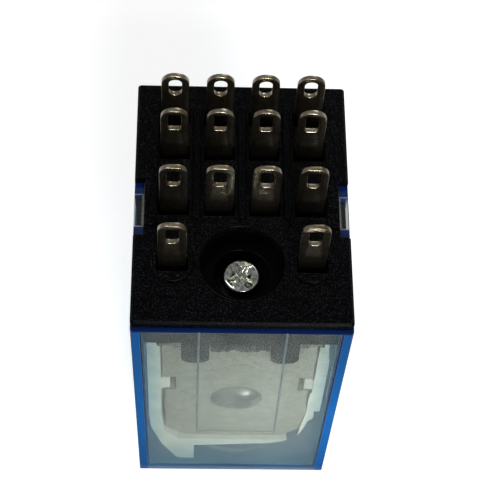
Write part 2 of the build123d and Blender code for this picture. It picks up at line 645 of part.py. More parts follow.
# ---- Armature ----
with BuildPart() as armature:
    with BuildSketch(across(ARMATURE_FACE_Y)):
        with Locations((0, (ARMATURE_TOP_Z + ARMATURE_LOW_Z) / 2)):
            RectangleRounded(2 * ARMATURE_HALF_WIDTH, ARMATURE_TOP_Z - ARMATURE_LOW_Z, 0.6)
        # Open notch that straddles the tongue of the yoke.
        with Locations((0, ARMATURE_TOP_Z - 0.55)):
            Rectangle(2 * TONGUE_HALF_WIDTH + 0.4, 3.1, mode=Mode.SUBTRACT)
        with Locations(*[(side * 3.5, 22.0) for side in (-1, 1)]):
            Circle(0.72, mode=Mode.SUBTRACT)
    extrude(amount=-ARMATURE_THICK)
    # Lug for the return spring.
    with BuildSketch(across(ARMATURE_BACK_Y - 0.2)):
        with Locations((0, RETURN_SPRING_Z)):
            RectangleRounded(1.8, 1.4, 0.2)
    extrude(amount=-1.05)
save(armature.part, "armature", "SteelBlue")

# ---- Contact carrier, staked to the back of the armature ----
with BuildPart() as carrier:
    with BuildSketch(across(ARMATURE_BACK_Y)):
        with Locations((0, 22.0)):
            RectangleRounded(12.0, 6.4, 0.5)
    extrude(amount=-0.8)
    with BuildSketch(across(ARMATURE_BACK_Y)):
        with Locations(*[(side * 3.5, 22.0) for side in (-1, 1)]):
            Circle(0.7)
    extrude(amount=ARMATURE_THICK - 0.15)
    carrier_middle = (CARRIER_LOW_Z + CARRIER_HIGH_Z) / 2
    with BuildSketch(across(ARMATURE_BACK_Y)):
        with Locations(*[(side * COLUMN_PITCH, carrier_middle) for side in (-1, 1)]):
            Rectangle(1.2, CARRIER_HIGH_Z - CARRIER_LOW_Z)
    extrude(amount=-(CARRIER_BAR_Y - ARMATURE_BACK_Y))
    with BuildSketch(Plane.XY.offset(CARRIER_LOW_Z)):
        with Locations((0, CARRIER_BAR_Y)):
            RectangleRounded(16.4, 1.3, 0.3)
        with Locations(*[(x, spring_y) for x in COLUMNS]):
            Rectangle(SPRING_WIDTH + 0.04, SPRING_THICK + 0.02, mode=Mode.SUBTRACT)
    extrude(amount=CARRIER_HIGH_Z - CARRIER_LOW_Z)
save(carrier.part, "contact_carrier", "SeaShell")

# ---- Return spring: the close turns as one sleeve ----
with BuildPart() as return_spring:
    spring_start_y = ARMATURE_BACK_Y + 0.9
    with BuildSketch(across(spring_start_y)):
        with Locations((0, RETURN_SPRING_Z)):
            Circle(RETURN_SPRING_RADIUS)
            Circle(RETURN_SPRING_RADIUS - RETURN_SPRING_WALL, mode=Mode.SUBTRACT)
    extrude(amount=-(SPRING_POST_Y - 0.65 - spring_start_y))
save(return_spring.part, "return_spring", "Gold")

# ---- Base screw: a low domed head with a cross recess ----
with BuildPart() as screw:
    head_top_z = SCREW_SEAT_Z + SCREW_HEAD_HEIGHT
    edge_z = SCREW_SEAT_Z + SCREW_EDGE_HEIGHT
    with BuildSketch(Plane.XZ.offset(-RECESS_Y)):
        with BuildLine():
            Polyline(
                (0.4, head_top_z), (0, head_top_z), (0, SCREW_SEAT_Z - SCREW_LENGTH),
                (SCREW_RADIUS, SCREW_SEAT_Z - SCREW_LENGTH), (SCREW_RADIUS, SCREW_SEAT_Z),
                (SCREW_HEAD_RADIUS, SCREW_SEAT_Z), (SCREW_HEAD_RADIUS, edge_z),
            )
            ThreePointArc(
                (SCREW_HEAD_RADIUS, edge_z), (SCREW_HEAD_RADIUS * 0.7, head_top_z - 0.13), (0.4, head_top_z)
            )
        make_face()
    revolve(axis=Axis((0, RECESS_Y, 0), (0, 0, 1)))
    with BuildSketch(Plane.XY.offset(head_top_z)):
        with Locations((0, RECESS_Y)):
            Rectangle(2.5, 0.7, rotation=35)
            Rectangle(0.7, 2.5, rotation=35)
    extrude(amount=-0.85, taper=14, mode=Mode.SUBTRACT)
save(screw.part, "base_screw", "White")
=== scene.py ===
"""The looks of a four-pole plug-in relay: clear blue cover, black base, nickel blades and the works inside.

Everything is in metres in the relay's own frame: the closed end of the cover lies on z = 0 and the
blades point up +Z. The coil terminals are at -Y.
"""

from __future__ import annotations

import logging
import math
import random
from dataclasses import dataclass, field
from enum import Enum

import bmesh
import bpy
from mathutils import Matrix, Vector

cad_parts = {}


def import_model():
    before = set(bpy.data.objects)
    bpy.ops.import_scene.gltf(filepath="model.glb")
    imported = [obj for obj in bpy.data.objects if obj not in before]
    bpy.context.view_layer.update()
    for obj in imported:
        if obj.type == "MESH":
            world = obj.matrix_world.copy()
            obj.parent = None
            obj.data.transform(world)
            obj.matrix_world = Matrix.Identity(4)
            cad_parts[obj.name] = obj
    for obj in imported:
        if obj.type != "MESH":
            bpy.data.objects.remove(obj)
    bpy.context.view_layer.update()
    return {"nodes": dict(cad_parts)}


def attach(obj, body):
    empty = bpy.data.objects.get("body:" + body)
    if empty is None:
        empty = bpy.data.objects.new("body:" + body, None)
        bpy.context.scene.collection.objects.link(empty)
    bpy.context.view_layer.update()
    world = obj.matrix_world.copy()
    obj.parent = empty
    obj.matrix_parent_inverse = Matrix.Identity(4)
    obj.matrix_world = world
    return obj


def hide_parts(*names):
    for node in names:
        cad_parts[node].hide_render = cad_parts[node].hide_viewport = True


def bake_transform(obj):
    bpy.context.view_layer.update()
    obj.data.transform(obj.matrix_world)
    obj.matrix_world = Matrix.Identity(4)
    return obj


LOG = logging.getLogger("relay")
MM = 0.001
FRAME_BODY = "frame"
POLES = 4


def linear(hex_colour: str, alpha: float = 1.0) -> tuple[float, float, float, float]:
    """Turn an sRGB hex colour into a linear RGBA colour.

    Args:
        hex_colour: Six hex digits after a hash sign.
        alpha: The fourth channel.

    Returns:
        Linear red, green, blue and alpha.
    """
    digits = hex_colour.lstrip("#")
    channels = []
    for start in (0, 2, 4):
        value = int(digits[start : start + 2], 16) / 255.0
        channels.append(value / 12.92 if value <= 0.04045 else ((value + 0.055) / 1.055) ** 2.4)
    return channels[0], channels[1], channels[2], alpha


def add_node(
    tree: bpy.types.NodeTree, kind: str, inputs: dict | None = None, **settings: object
) -> bpy.types.Node:
    """Add one node to a tree, with its settings and the values or links of its inputs.

    Args:
        tree: The node tree that takes the node.
        kind: The node's type name, such as ShaderNodeMath.
        inputs: Input name or number to a value, or to the output socket that feeds it.
        **settings: Properties of the node, such as operation or blend_type.

    Returns:
        The new node.
    """
    node = tree.nodes.new(kind)
    for name, value in settings.items():
        setattr(node, name, value)
    for key, value in (inputs or {}).items():
        if isinstance(value, bpy.types.NodeSocket):
            tree.links.new(value, node.inputs[key])
        else:
            node.inputs[key].default_value = value
    return node


@dataclass(frozen=True)
class Finish:
    """A material that starts from one Principled shader and adds its own pattern."""

    name: str
    colour: str
    roughness: float = 0.5
    metallic: float = 0.0

    def build(self) -> bpy.types.Material:
        """Make the material, or return the one made before under the same name.

        Returns:
            The material.
        """
        made = bpy.data.materials.get(self.name)
        if made is not None:
            return made
        material = bpy.data.materials.new(self.name)
        material.use_nodes = True
        material.diffuse_color = linear(self.colour)
        tree = material.node_tree
        tree.nodes.clear()
        shader = add_node(
            tree,
            "ShaderNodeBsdfPrincipled",
            {"Base Color": linear(self.colour), "Roughness": self.roughness, "Metallic": self.metallic},
        )
        output = add_node(tree, "ShaderNodeOutputMaterial", {"Surface": shader.outputs["BSDF"]})
        self.pattern(tree, shader, output)
        return material

    def pattern(self, tree: bpy.types.NodeTree, shader: bpy.types.Node, output: bpy.types.Node) -> None:
        """Add what makes this finish its own; the plain one adds nothing.

        Args:
            tree: The material's node tree.
            shader: The Principled shader.
            output: The material's output.
        """

    def noise(self, tree: bpy.types.NodeTree, size_mm: float, detail: float = 2.0) -> bpy.types.NodeSocket:
        """A noise pattern whose blotches are about size_mm across.

        Args:
            tree: The material's node tree.
            size_mm: Real size of one blotch.
            detail: Octaves of finer noise.

        Returns:
            The pattern's value socket, from 0 to 1.
        """
        place = add_node(tree, "ShaderNodeTexCoord")
        pattern = add_node(
            tree,
            "ShaderNodeTexNoise",
            {"Vector": place.outputs["Object"], "Scale": 1.0 / (size_mm * MM), "Detail": detail},
        )
        return pattern.outputs["Fac"]


@dataclass(frozen=True)
class Moulding(Finish):
    """Injection-moulded or pressed plastic: fine grain and a faint cloudiness.

    Specks are dust on the outer face only, above speck_above_mm. Real dust is finer than speck_mm, and
    is drawn this coarse so that it shows.
    """

    grain_mm: float = 0.12
    grain_height_mm: float = 0.004
    cloud: float = 0.12
    cloud_mm: float = 3.0
    roughness_spread: float = 0.08
    specular: float = 0.5
    speck_colour: str = ""
    speck_mm: float = 0.13
    speck_share: float = 0.56
    speck_full: float = 0.8
    speck_above_mm: float = 34.0

    def pattern(self, tree: bpy.types.NodeTree, shader: bpy.types.Node, output: bpy.types.Node) -> None:
        """Vary the colour in soft clouds and raise a fine grain.

        Args:
            tree: The material's node tree.
            shader: The Principled shader.
            output: The material's output.
        """
        shader.inputs["Specular IOR Level"].default_value = self.specular
        clouds = self.noise(tree, self.cloud_mm)
        base = linear(self.colour)
        dark = tuple(c * (1 - self.cloud) for c in base[:3]) + (1.0,)
        light = tuple(min(1.0, c * (1 + self.cloud)) for c in base[:3]) + (1.0,)
        tint = add_node(
            tree, "ShaderNodeMix", {"Factor": clouds, 6: dark, 7: light}, data_type="RGBA"
        )
        surface = tint.outputs[2]
        if self.speck_colour:
            dust = add_node(
                tree,
                "ShaderNodeMapRange",
                {
                    "Value": self.noise(tree, self.speck_mm, 1.0),
                    "From Min": self.speck_share,
                    "From Max": self.speck_full,
                },
            )
            place = add_node(tree, "ShaderNodeTexCoord")
            split = add_node(tree, "ShaderNodeSeparateXYZ", {"Vector": place.outputs["Object"]})
            outside = add_node(
                tree,
                "ShaderNodeMath",
                {0: split.outputs["Z"], 1: self.speck_above_mm * MM},
                operation="GREATER_THAN",
            )
            shown = add_node(
                tree,
                "ShaderNodeMath",
                {0: dust.outputs["Result"], 1: outside.outputs[0]},
                operation="MULTIPLY",
            )
            specks = add_node(
                tree,
                "ShaderNodeMix",
                {"Factor": shown.outputs[0], 6: surface, 7: linear(self.speck_colour)},
                data_type="RGBA",
            )
            surface = specks.outputs[2]
        tree.links.new(surface, shader.inputs["Base Color"])
        grain = self.noise(tree, self.grain_mm, 3.0)
        bump = add_node(
            tree, "ShaderNodeBump", {"Height": grain, "Distance": self.grain_height_mm * MM, "Strength": 1.0}
        )
        tree.links.new(bump.outputs["Normal"], shader.inputs["Normal"])
        rough = add_node(
            tree,
            "ShaderNodeMapRange",
            {
                "Value": grain,
                "To Min": self.roughness - self.roughness_spread,
                "To Max": self.roughness + self.roughness_spread,
            },
        )
        tree.links.new(rough.outputs["Result"], shader.inputs["Roughness"])


@dataclass(frozen=True)
class Metal(Finish):
    """Sheet or turned metal with tarnish in soft patches and fine rolling scratches.

    Real rolling scratches are finer than scratch_mm, and are drawn this coarse so that they show.
    """

    tarnish: str = "#6f6650"
    patch_mm: float = 1.6
    scratch_mm: float = 0.05
    scratch_length: float = 12.0
    scratch_height_mm: float = 0.002
    tarnish_from: float = 0.38
    tarnish_full: float = 0.66
    polished_share: float = 0.7
    dull_share: float = 1.35

    def pattern(self, tree: bpy.types.NodeTree, shader: bpy.types.Node, output: bpy.types.Node) -> None:
        """Mix in tarnish and scratch the surface along Z.

        Args:
            tree: The material's node tree.
            shader: The Principled shader.
            output: The material's output.
        """
        patches = self.noise(tree, self.patch_mm, 4.0)
        spread = add_node(
            tree,
            "ShaderNodeMapRange",
            {"Value": patches, "From Min": self.tarnish_from, "From Max": self.tarnish_full},
        )
        tint = add_node(
            tree,
            "ShaderNodeMix",
            {"Factor": spread.outputs["Result"], 6: linear(self.colour), 7: linear(self.tarnish)},
            data_type="RGBA",
        )
        tree.links.new(tint.outputs[2], shader.inputs["Base Color"])
        place = add_node(tree, "ShaderNodeTexCoord")
        stretch = add_node(
            tree,
            "ShaderNodeMapping",
            {"Vector": place.outputs["Object"], "Scale": (1.0, 1.0, 1.0 / self.scratch_length)},
        )
        scratches = add_node(
            tree,
            "ShaderNodeTexNoise",
            {"Vector": stretch.outputs["Vector"], "Scale": 1.0 / (self.scratch_mm * MM), "Detail": 3.0},
        )
        bump = add_node(
            tree,
            "ShaderNodeBump",
            {"Height": scratches.outputs["Fac"], "Distance": self.scratch_height_mm * MM},
        )
        tree.links.new(bump.outputs["Normal"], shader.inputs["Normal"])
        rough = add_node(
            tree,
            "ShaderNodeMapRange",
            {
                "Value": patches,
                "To Min": self.roughness * self.polished_share,
                "To Max": min(1.0, self.roughness * self.dull_share),
            },
        )
        tree.links.new(rough.outputs["Result"], shader.inputs["Roughness"])


@dataclass(frozen=True)
class Plating(Metal):
    """Dull barrel-plated zinc: an even matt skin with fine dark flecks where it has started to spot.

    Real spots are finer than fleck_mm, and are drawn this coarse so that they show.
    """

    patch_mm: float = 0.7
    scratch_mm: float = 0.09
    scratch_length: float = 2.0
    scratch_height_mm: float = 0.004
    fleck: str = "#4c4a42"
    fleck_mm: float = 0.26
    fleck_share: float = 0.64
    fleck_full: float = 0.76

    def pattern(self, tree: bpy.types.NodeTree, shader: bpy.types.Node, output: bpy.types.Node) -> None:
        """Spot the plated skin with flecks.

        Args:
            tree: The material's node tree.
            shader: The Principled shader.
            output: The material's output.
        """
        super().pattern(tree, shader, output)
        skin = shader.inputs["Base Color"].links[0].from_socket
        spots = add_node(
            tree,
            "ShaderNodeMapRange",
            {
                "Value": self.noise(tree, self.fleck_mm, 2.0),
                "From Min": self.fleck_share,
                "From Max": self.fleck_full,
            },
        )
        spotted = add_node(
            tree,
            "ShaderNodeMix",
            {"Factor": spots.outputs["Result"], 6: skin, 7: linear(self.fleck)},
            data_type="RGBA",
        )
        tree.links.new(spotted.outputs[2], shader.inputs["Base Color"])


@dataclass(frozen=True)
class Resin(Finish):
    """A glossy set liquid or film: lumpy, paler on the lumps and painted darker in the hollows between them
    as painted shade; the gloss catches small glints.
    """

    lump_mm: float = 0.5
    lump_height_mm: float = 0.05
    clear: float = 0.0
    # Share of the colour left in the hollows: painted shade.
    hollow_shade_share: float = 0.55

    def pattern(self, tree: bpy.types.NodeTree, shader: bpy.types.Node, output: bpy.types.Node) -> None:
        """Raise soft lumps under a hard gloss and paint the hollows between them darker, as painted shade.

        Args:
            tree: The material's node tree.
            shader: The Principled shader.
            output: The material's output.
        """
        shader.inputs["Transmission Weight"].default_value = self.clear
        lumps = self.noise(tree, self.lump_mm, 3.0)
        base = linear(self.colour)
        # Painted shade: the colour follows the lumps' height, so the hollows are painted darker.
        deep = tuple(c * self.hollow_shade_share for c in base[:3]) + (1.0,)
        tint = add_node(tree, "ShaderNodeMix", {"Factor": lumps, 6: deep, 7: base}, data_type="RGBA")
        tree.links.new(tint.outputs[2], shader.inputs["Base Color"])
        bump = add_node(
            tree, "ShaderNodeBump", {"Height": lumps, "Distance": self.lump_height_mm * MM, "Strength": 1.0}
        )
        tree.links.new(bump.outputs["Normal"], shader.inputs["Normal"])


@dataclass(frozen=True)
class TintedPolycarbonate(Finish):
    """Clear moulded polycarbonate with a blue dye, with a pale film inside.

    A wall of a millimetre takes away little light, so it looks clear. Seen along the wall the dye adds
    up over many millimetres, and the corners, the rim and the foot turn a deep saturated blue. Away
    from the latch windows the rim takes a darker blue: painted shade, where the base's lip shades it.
    The inner faces carry a thin breath of film that greys what lies behind them. The blue and the film
    are placed by where a point lies on the cover, because light followed over a few bounces can't build
    them up. Lamps reach the inside because the cover lets shadow rays through.
    """

    ior: float = 1.585
    absorb_red_per_mm: float = 0.1
    absorb_green_per_mm: float = 0.045
    absorb_blue_per_mm: float = 0.02
    edge_blue: str = "#0a66b4"
    # Painted shade: the darker blue that the rim takes where the base's lip shades it.
    lip_shaded_rim_blue: str = "#04245c"
    film: float = 0.19
    film_colour: str = "#e6e4dc"
    side_film_colour: str = "#bfd3d6"
    side_film: float = 0.16
    shade: str = "#f1f5f7"
    window_y_mm: float = -0.85
    window_half_mm: float = 1.9
    half_width_mm: float = 10.4
    half_length_mm: float = 14.05
    rim_mm: float = 34.1
    wall_mm: float = 0.92
    draft: float = math.tan(math.radians(0.4))
    wall_fade_mm: float = 0.06
    rim_from_mm: float = 0.1
    rim_full_mm: float = 0.02
    foot_from_mm: float = 1.06
    foot_full_mm: float = 0.5
    foot_share: float = 0.6
    window_fade_mm: float = 0.2
    film_from_mm: float = 0.7
    film_full_mm: float = 0.8
    streak_mm: float = 2.2
    corner_fog_from_mm: float = 3.0
    corner_fog_full_mm: float = 0.95
    floor_fog_from_mm: float = 8.0
    floor_fog_full_mm: float = 1.0
    ripple_mm: float = 6.0
    ripple_height_mm: float = 0.006

    def inset(
        self, tree: bpy.types.NodeTree, place: bpy.types.Node, axis: str, half_mm: float
    ) -> bpy.types.NodeSocket:
        """How far a point lies inside the outer face of the drafted walls across one axis, in mm.

        Args:
            tree: The material's node tree.
            place: The node that splits the place in mm.
            axis: X or Y.
            half_mm: Half the cover's size along that axis, at its rim.

        Returns:
            The socket that holds the inset.
        """
        reach = add_node(tree, "ShaderNodeMath", {0: place.outputs[axis]}, operation="ABSOLUTE")
        below = add_node(
            tree, "ShaderNodeMath", {0: self.rim_mm, 1: place.outputs["Z"]}, operation="SUBTRACT"
        )
        lean = add_node(
            tree,
            "ShaderNodeMath",
            {0: below.outputs[0], 1: self.draft, 2: reach.outputs[0]},
            operation="MULTIPLY_ADD",
        )
        gap = add_node(tree, "ShaderNodeMath", {0: half_mm, 1: lean.outputs[0]}, operation="SUBTRACT")
        return gap.outputs[0]

    def pattern(self, tree: bpy.types.NodeTree, shader: bpy.types.Node, output: bpy.types.Node) -> None:
        """Let light through, bend it, absorb it along its way, and fog the inner faces.

        Args:
            tree: The material's node tree.
            shader: The Principled shader.
            output: The material's output.
        """
        shader.inputs["IOR"].default_value = self.ior
        point = add_node(tree, "ShaderNodeTexCoord")
        in_mm = add_node(
            tree, "ShaderNodeVectorMath", {0: point.outputs["Object"], "Scale": 1.0 / MM}, operation="SCALE"
        )
        place = add_node(tree, "ShaderNodeSeparateXYZ", {"Vector": in_mm.outputs[0]})
        gap_x = self.inset(tree, place, "X", self.half_width_mm)
        gap_y = self.inset(tree, place, "Y", self.half_length_mm)
        wall_span = {"From Min": self.wall_mm, "From Max": self.wall_mm - self.wall_fade_mm}
        near_x, near_y = (
            add_node(tree, "ShaderNodeMapRange", {"Value": gap, **wall_span}) for gap in (gap_x, gap_y)
        )
        column = add_node(
            tree, "ShaderNodeMath", {0: near_x.outputs[0], 1: near_y.outputs[0]}, operation="MULTIPLY"
        )
        rim = add_node(
            tree,
            "ShaderNodeMapRange",
            {
                "Value": place.outputs["Z"],
                "From Min": self.rim_mm - self.rim_from_mm,
                "From Max": self.rim_mm - self.rim_full_mm,
            },
        )
        foot = add_node(
            tree,
            "ShaderNodeMapRange",
            {
                "Value": place.outputs["Z"],
                "From Min": self.foot_from_mm,
                "From Max": self.foot_full_mm,
                "To Max": self.foot_share,
            },
        )
        from_window = add_node(
            tree, "ShaderNodeMath", {0: place.outputs["Y"], 1: self.window_y_mm}, operation="SUBTRACT"
        )
        aside = add_node(tree, "ShaderNodeMath", {0: from_window.outputs[0]}, operation="ABSOLUTE")
        over_wall = add_node(
            tree,
            "ShaderNodeMapRange",
            {
                "Value": aside.outputs[0],
                "From Min": self.window_half_mm - self.window_fade_mm,
                "From Max": self.window_half_mm,
            },
        )
        # Painted shade: the rim, away from the latch windows, takes the darker blue of the lip's shade.
        lip_shaded_rim = add_node(
            tree, "ShaderNodeMath", {0: rim.outputs[0], 1: over_wall.outputs[0]}, operation="MULTIPLY"
        )
        either = add_node(
            tree, "ShaderNodeMath", {0: column.outputs[0], 1: lip_shaded_rim.outputs[0]}, operation="MAXIMUM"
        )
        edge = add_node(
            tree, "ShaderNodeMath", {0: either.outputs[0], 1: foot.outputs[0]}, operation="MAXIMUM"
        )
        closer = add_node(tree, "ShaderNodeMath", {0: gap_x, 1: gap_y}, operation="MINIMUM")
        inner = add_node(
            tree,
            "ShaderNodeMapRange",
            {
                "Value": closer.outputs[0],
                "From Min": self.film_from_mm,
                "From Max": self.film_full_mm,
                "To Max": self.film,
            },
        )
        streak = add_node(
            tree,
            "ShaderNodeMapRange",
            {
                "Value": self.noise(tree, self.streak_mm, 3.0),
                "From Min": 0.3,
                "From Max": 0.7,
                "To Min": 0.65,
                "To Max": 1.3,
            },
        )
        from_corner = add_node(tree, "ShaderNodeMath", {0: gap_x, 1: gap_y}, operation="MAXIMUM")
        beside = add_node(
            tree,
            "ShaderNodeMapRange",
            {
                "Value": from_corner.outputs[0],
                "From Min": self.corner_fog_from_mm,
                "From Max": self.corner_fog_full_mm,
            },
        )
        beneath = add_node(
            tree,
            "ShaderNodeMapRange",
            {
                "Value": place.outputs["Z"],
                "From Min": self.floor_fog_from_mm,
                "From Max": self.floor_fog_full_mm,
            },
        )
        margin = add_node(
            tree, "ShaderNodeMath", {0: beside.outputs[0], 1: beneath.outputs[0]}, operation="MAXIMUM"
        )
        thick = add_node(
            tree,
            "ShaderNodeMath",
            {0: margin.outputs[0], 1: self.side_film, 2: streak.outputs[0]},
            operation="MULTIPLY_ADD",
        )
        film = add_node(
            tree, "ShaderNodeMath", {0: inner.outputs[0], 1: thick.outputs[0]}, operation="MULTIPLY"
        )
        fog = add_node(
            tree,
            "ShaderNodeMix",
            {"Factor": margin.outputs[0], 6: linear(self.film_colour), 7: linear(self.side_film_colour)},
            data_type="RGBA",
        )
        solid = add_node(
            tree, "ShaderNodeMath", {0: edge.outputs[0], 1: film.outputs[0]}, operation="MAXIMUM"
        )
        clear = add_node(tree, "ShaderNodeMath", {0: 1.0, 1: solid.outputs[0]}, operation="SUBTRACT")
        tree.links.new(clear.outputs[0], shader.inputs["Transmission Weight"])
        blues = add_node(
            tree,
            "ShaderNodeMix",
            {"Factor": lip_shaded_rim.outputs[0], 6: linear(self.edge_blue), 7: linear(self.lip_shaded_rim_blue)},
            data_type="RGBA",
        )
        body = add_node(
            tree,
            "ShaderNodeMix",
            {"Factor": edge.outputs[0], 6: fog.outputs[2], 7: blues.outputs[2]},
            data_type="RGBA",
        )
        tree.links.new(body.outputs[2], shader.inputs["Base Color"])
        density = self.absorb_red_per_mm / MM
        colour = (
            0.0,
            1.0 - self.absorb_green_per_mm / self.absorb_red_per_mm,
            1.0 - self.absorb_blue_per_mm / self.absorb_red_per_mm,
            1.0,
        )
        dye = add_node(tree, "ShaderNodeVolumeAbsorption", {"Color": colour, "Density": density})
        tree.links.new(dye.outputs["Volume"], output.inputs["Volume"])
        ripple = self.noise(tree, self.ripple_mm, 1.0)
        bump = add_node(tree, "ShaderNodeBump", {"Height": ripple, "Distance": self.ripple_height_mm * MM})
        tree.links.new(bump.outputs["Normal"], shader.inputs["Normal"])
        lamps = add_node(tree, "ShaderNodeLightPath")
        open_way = add_node(tree, "ShaderNodeBsdfTransparent", {"Color": linear(self.shade)})
        through = add_node(
            tree,
            "ShaderNodeMixShader",
            {0: lamps.outputs["Is Shadow Ray"], 1: shader.outputs["BSDF"], 2: open_way.outputs["BSDF"]},
        )
        tree.links.new(through.outputs["Shader"], output.inputs["Surface"])


@dataclass(frozen=True)
class StudioCard(Finish):
    """Pale card that glows like a light table: white to the lens, and greyer to all other light.

    Its glow makes it white to the lens; to all other light it glows more faintly, rising from near_glow
    at flag_edge to far_glow at far_edge. Like a black flag laid in front of the relay, it is dark to that
    other light beyond flag_edge. That keeps the glare off the front wall, so that the works inside show
    through it.
    """

    lens_glow: float = 0.55
    flag_glow: float = 0.02
    near_glow: float = 0.2
    far_glow: float = 0.5
    flag_edge: float = -14.3 * MM
    far_edge: float = 20.0 * MM
    throw: str = "#5a5a5a"

    def pattern(self, tree: bpy.types.NodeTree, shader: bpy.types.Node, output: bpy.types.Node) -> None:
        """Give the lens a pale glowing card and every other ray a grey one that glows more faintly.

        Args:
            tree: The material's node tree.
            shader: The Principled shader.
            output: The material's output.
        """
        rays = add_node(tree, "ShaderNodeLightPath")
        seen = rays.outputs["Is Camera Ray"]
        tint = add_node(
            tree,
            "ShaderNodeMix",
            {"Factor": seen, 6: linear(self.throw), 7: linear(self.colour)},
            data_type="RGBA",
        )
        tree.links.new(tint.outputs[2], shader.inputs["Base Color"])
        point = add_node(tree, "ShaderNodeTexCoord")
        place = add_node(tree, "ShaderNodeSeparateXYZ", {"Vector": point.outputs["Object"]})
        rise = add_node(
            tree,
            "ShaderNodeMapRange",
            {
                "Value": place.outputs["Y"],
                "From Min": self.flag_edge,
                "From Max": self.far_edge,
                "To Min": self.near_glow,
                "To Max": self.far_glow,
            },
        )
        clear = add_node(
            tree, "ShaderNodeMath", {0: place.outputs["Y"], 1: self.flag_edge}, operation="GREATER_THAN"
        )
        glow = add_node(
            tree,
            "ShaderNodeMix",
            {"Factor": clear.outputs[0], 2: self.flag_glow, 3: rise.outputs["Result"]},
        )
        strength = add_node(
            tree, "ShaderNodeMix", {"Factor": seen, 2: glow.outputs[0], 3: self.lens_glow}
        )
        tree.links.new(strength.outputs[0], shader.inputs["Emission Strength"])
        shader.inputs["Emission Color"].default_value = linear("#ffffff")
        shader.inputs["Specular IOR Level"].default_value = 0.0


class Finishes(Enum):
    """Every finish of the relay, each after the real material."""

    # Moulded clear with a blue dye: clear face on, deep blue along its edges, a painted shade darkening the
    # rim, fogged within.
    COVER = TintedPolycarbonate("tinted_polycarbonate", "#f4f8fb", roughness=0.02)
    # Pressed black resin: almost no gloss, with pale dust on the outer face.
    BASE = Moulding(
        "black_phenolic", "#020203", roughness=0.3, grain_height_mm=0.0016, specular=0.055,
        speck_colour="#303338",
    )
    # Stamped and plated sheet: warm grey shine that dulls to brown in patches.
    BLADE = Metal("nickel_plated_brass", "#b9b09c", roughness=0.3, metallic=1.0, tarnish="#857a60")
    # Barrel-plated sheet gone dull: flat warm grey with dark flecks.
    IRON = Plating("zinc_plated_iron", "#aaa596", roughness=0.55, metallic=0.3, tarnish="#9c988a")
    # Turned and riveted over: a smooth pale end that takes one soft glint.
    CORE = Metal("turned_soft_iron", "#c2c2ba", roughness=0.16, metallic=0.7, tarnish="#9c9d97")
    # Moulded, filled with glass: off-white and faintly cloudy, with a soft sheen.
    BOBBIN = Moulding("white_glass_filled_nylon", "#dcdace", roughness=0.45, cloud=0.07)
    # Dripped on and set: dark, wet-looking lumps.
    GLUE = Resin("clear_epoxy_bead", "#3a3b36", roughness=0.12)
    # Drawn film: half clear, with long shallow waves that catch the light.
    FILM = Resin(
        "clear_polyester_film", "#cfdade", roughness=0.15, lump_mm=1.5, lump_height_mm=0.02, clear=0.45
    )
    # Pressed resin: matt and cream, hardly clouded.
    CARRIER = Moulding("cream_phenolic", "#d8d2bf", roughness=0.5, cloud=0.05)
    # Headed from wire: small, bright and nearly white.
    SILVER = Metal("silver_contact_alloy", "#e0e0dc", roughness=0.22, metallic=1.0, tarnish="#b4b1a6")
    # Rolled strip: warm orange shine.
    BRONZE = Metal("phosphor_bronze", "#c79a63", roughness=0.3, metallic=1.0, tarnish="#a47a48")
    # Woven bare wire: pinkish red, browner where it has aged.
    COPPER = Metal("bare_copper_braid", "#c98361", roughness=0.35, metallic=1.0, tarnish="#96573c")
    # Wire under varnish: glossy reddish brown.
    ENAMEL = Metal(
        "enamelled_copper_wire", "#b5602f", roughness=0.25, metallic=0.8, tarnish="#8f4521"
    )
    # Calendered tape: smooth warm white.
    TAPE = Moulding("white_polyester_tape", "#dcd8c8", roughness=0.3, cloud=0.05)
    # Drawn wire: even cool grey shine.
    SPRING = Metal("drawn_spring_steel", "#b7b8b6", roughness=0.25, metallic=1.0, tarnish="#8c8c88")
    # Headed and bright plated: near-white, with coarse facets that sparkle.
    SCREW = Metal(
        "bright_zinc_plated_steel", "#e9ede6", roughness=0.13, metallic=1.0, tarnish="#a9b2ab",
        patch_mm=0.35, scratch_mm=0.3, scratch_length=1.0, scratch_height_mm=0.02,
    )
    # Melted and set: smooth, silvery and bright.
    SOLDER = Metal("tin_solder", "#d9dadb", roughness=0.2, metallic=1.0, tarnish="#b9babb")


def finish_of(node: str) -> Finishes:
    """The finish of a CAD node, from its name.

    Args:
        node: The node's name.

    Returns:
        The finish that the node takes.
    """
    starts = {
        "cover": Finishes.COVER,
        "terminal_base": Finishes.BASE,
        "terminal_": Finishes.BLADE,
        "contact_spring": Finishes.BRONZE,
        "contact_carrier": Finishes.CARRIER,
        "contact_": Finishes.SILVER,
        "pigtail": Finishes.COPPER,
        "coil_lead": Finishes.ENAMEL,
        "coil_winding": Finishes.ENAMEL,
        "coil_tape": Finishes.TAPE,
        "bobbin": Finishes.BOBBIN,
        "core": Finishes.CORE,
        "return_spring": Finishes.SPRING,
        "base_screw": Finishes.SCREW,
    }
    for start, finish in starts.items():
        if node.startswith(start):
            return finish
    return Finishes.IRON


def adopt(
    mesh: bpy.types.Mesh, name: str, finish: Finishes, replaced: tuple[str, ...] = ()
) -> bpy.types.Object:
    """Turn a finished mesh into a named piece with its finish and the nodes it stands for.

    Args:
        mesh: The mesh, in metres in the relay's frame.
        name: The piece's name.
        finish: The finish it is dressed in.
        replaced: CAD nodes that it stands for.

    Returns:
        The piece, not yet riding on a body.
    """
    mesh.name = name
    mesh.materials.clear()
    mesh.materials.append(finish.value.build())
    piece = bpy.data.objects.new(name, mesh)
    bpy.context.scene.collection.objects.link(piece)
    if replaced:
        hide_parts(*replaced)
    LOG.info("%s: %d faces, %s", name, len(mesh.polygons), finish.value.name)
    return piece


def curve_mesh(curve: bpy.types.Curve) -> bpy.types.Mesh:
    """The mesh of a curve with all its thickness, after which the curve is gone.

    Args:
        curve: The curve's data.

    Returns:
        A new mesh.
    """
    holder = bpy.data.objects.new("holder", curve)
    mesh = bpy.data.meshes.new_from_object(holder)
    bpy.data.objects.remove(holder)
    bpy.data.curves.remove(curve)
    return mesh


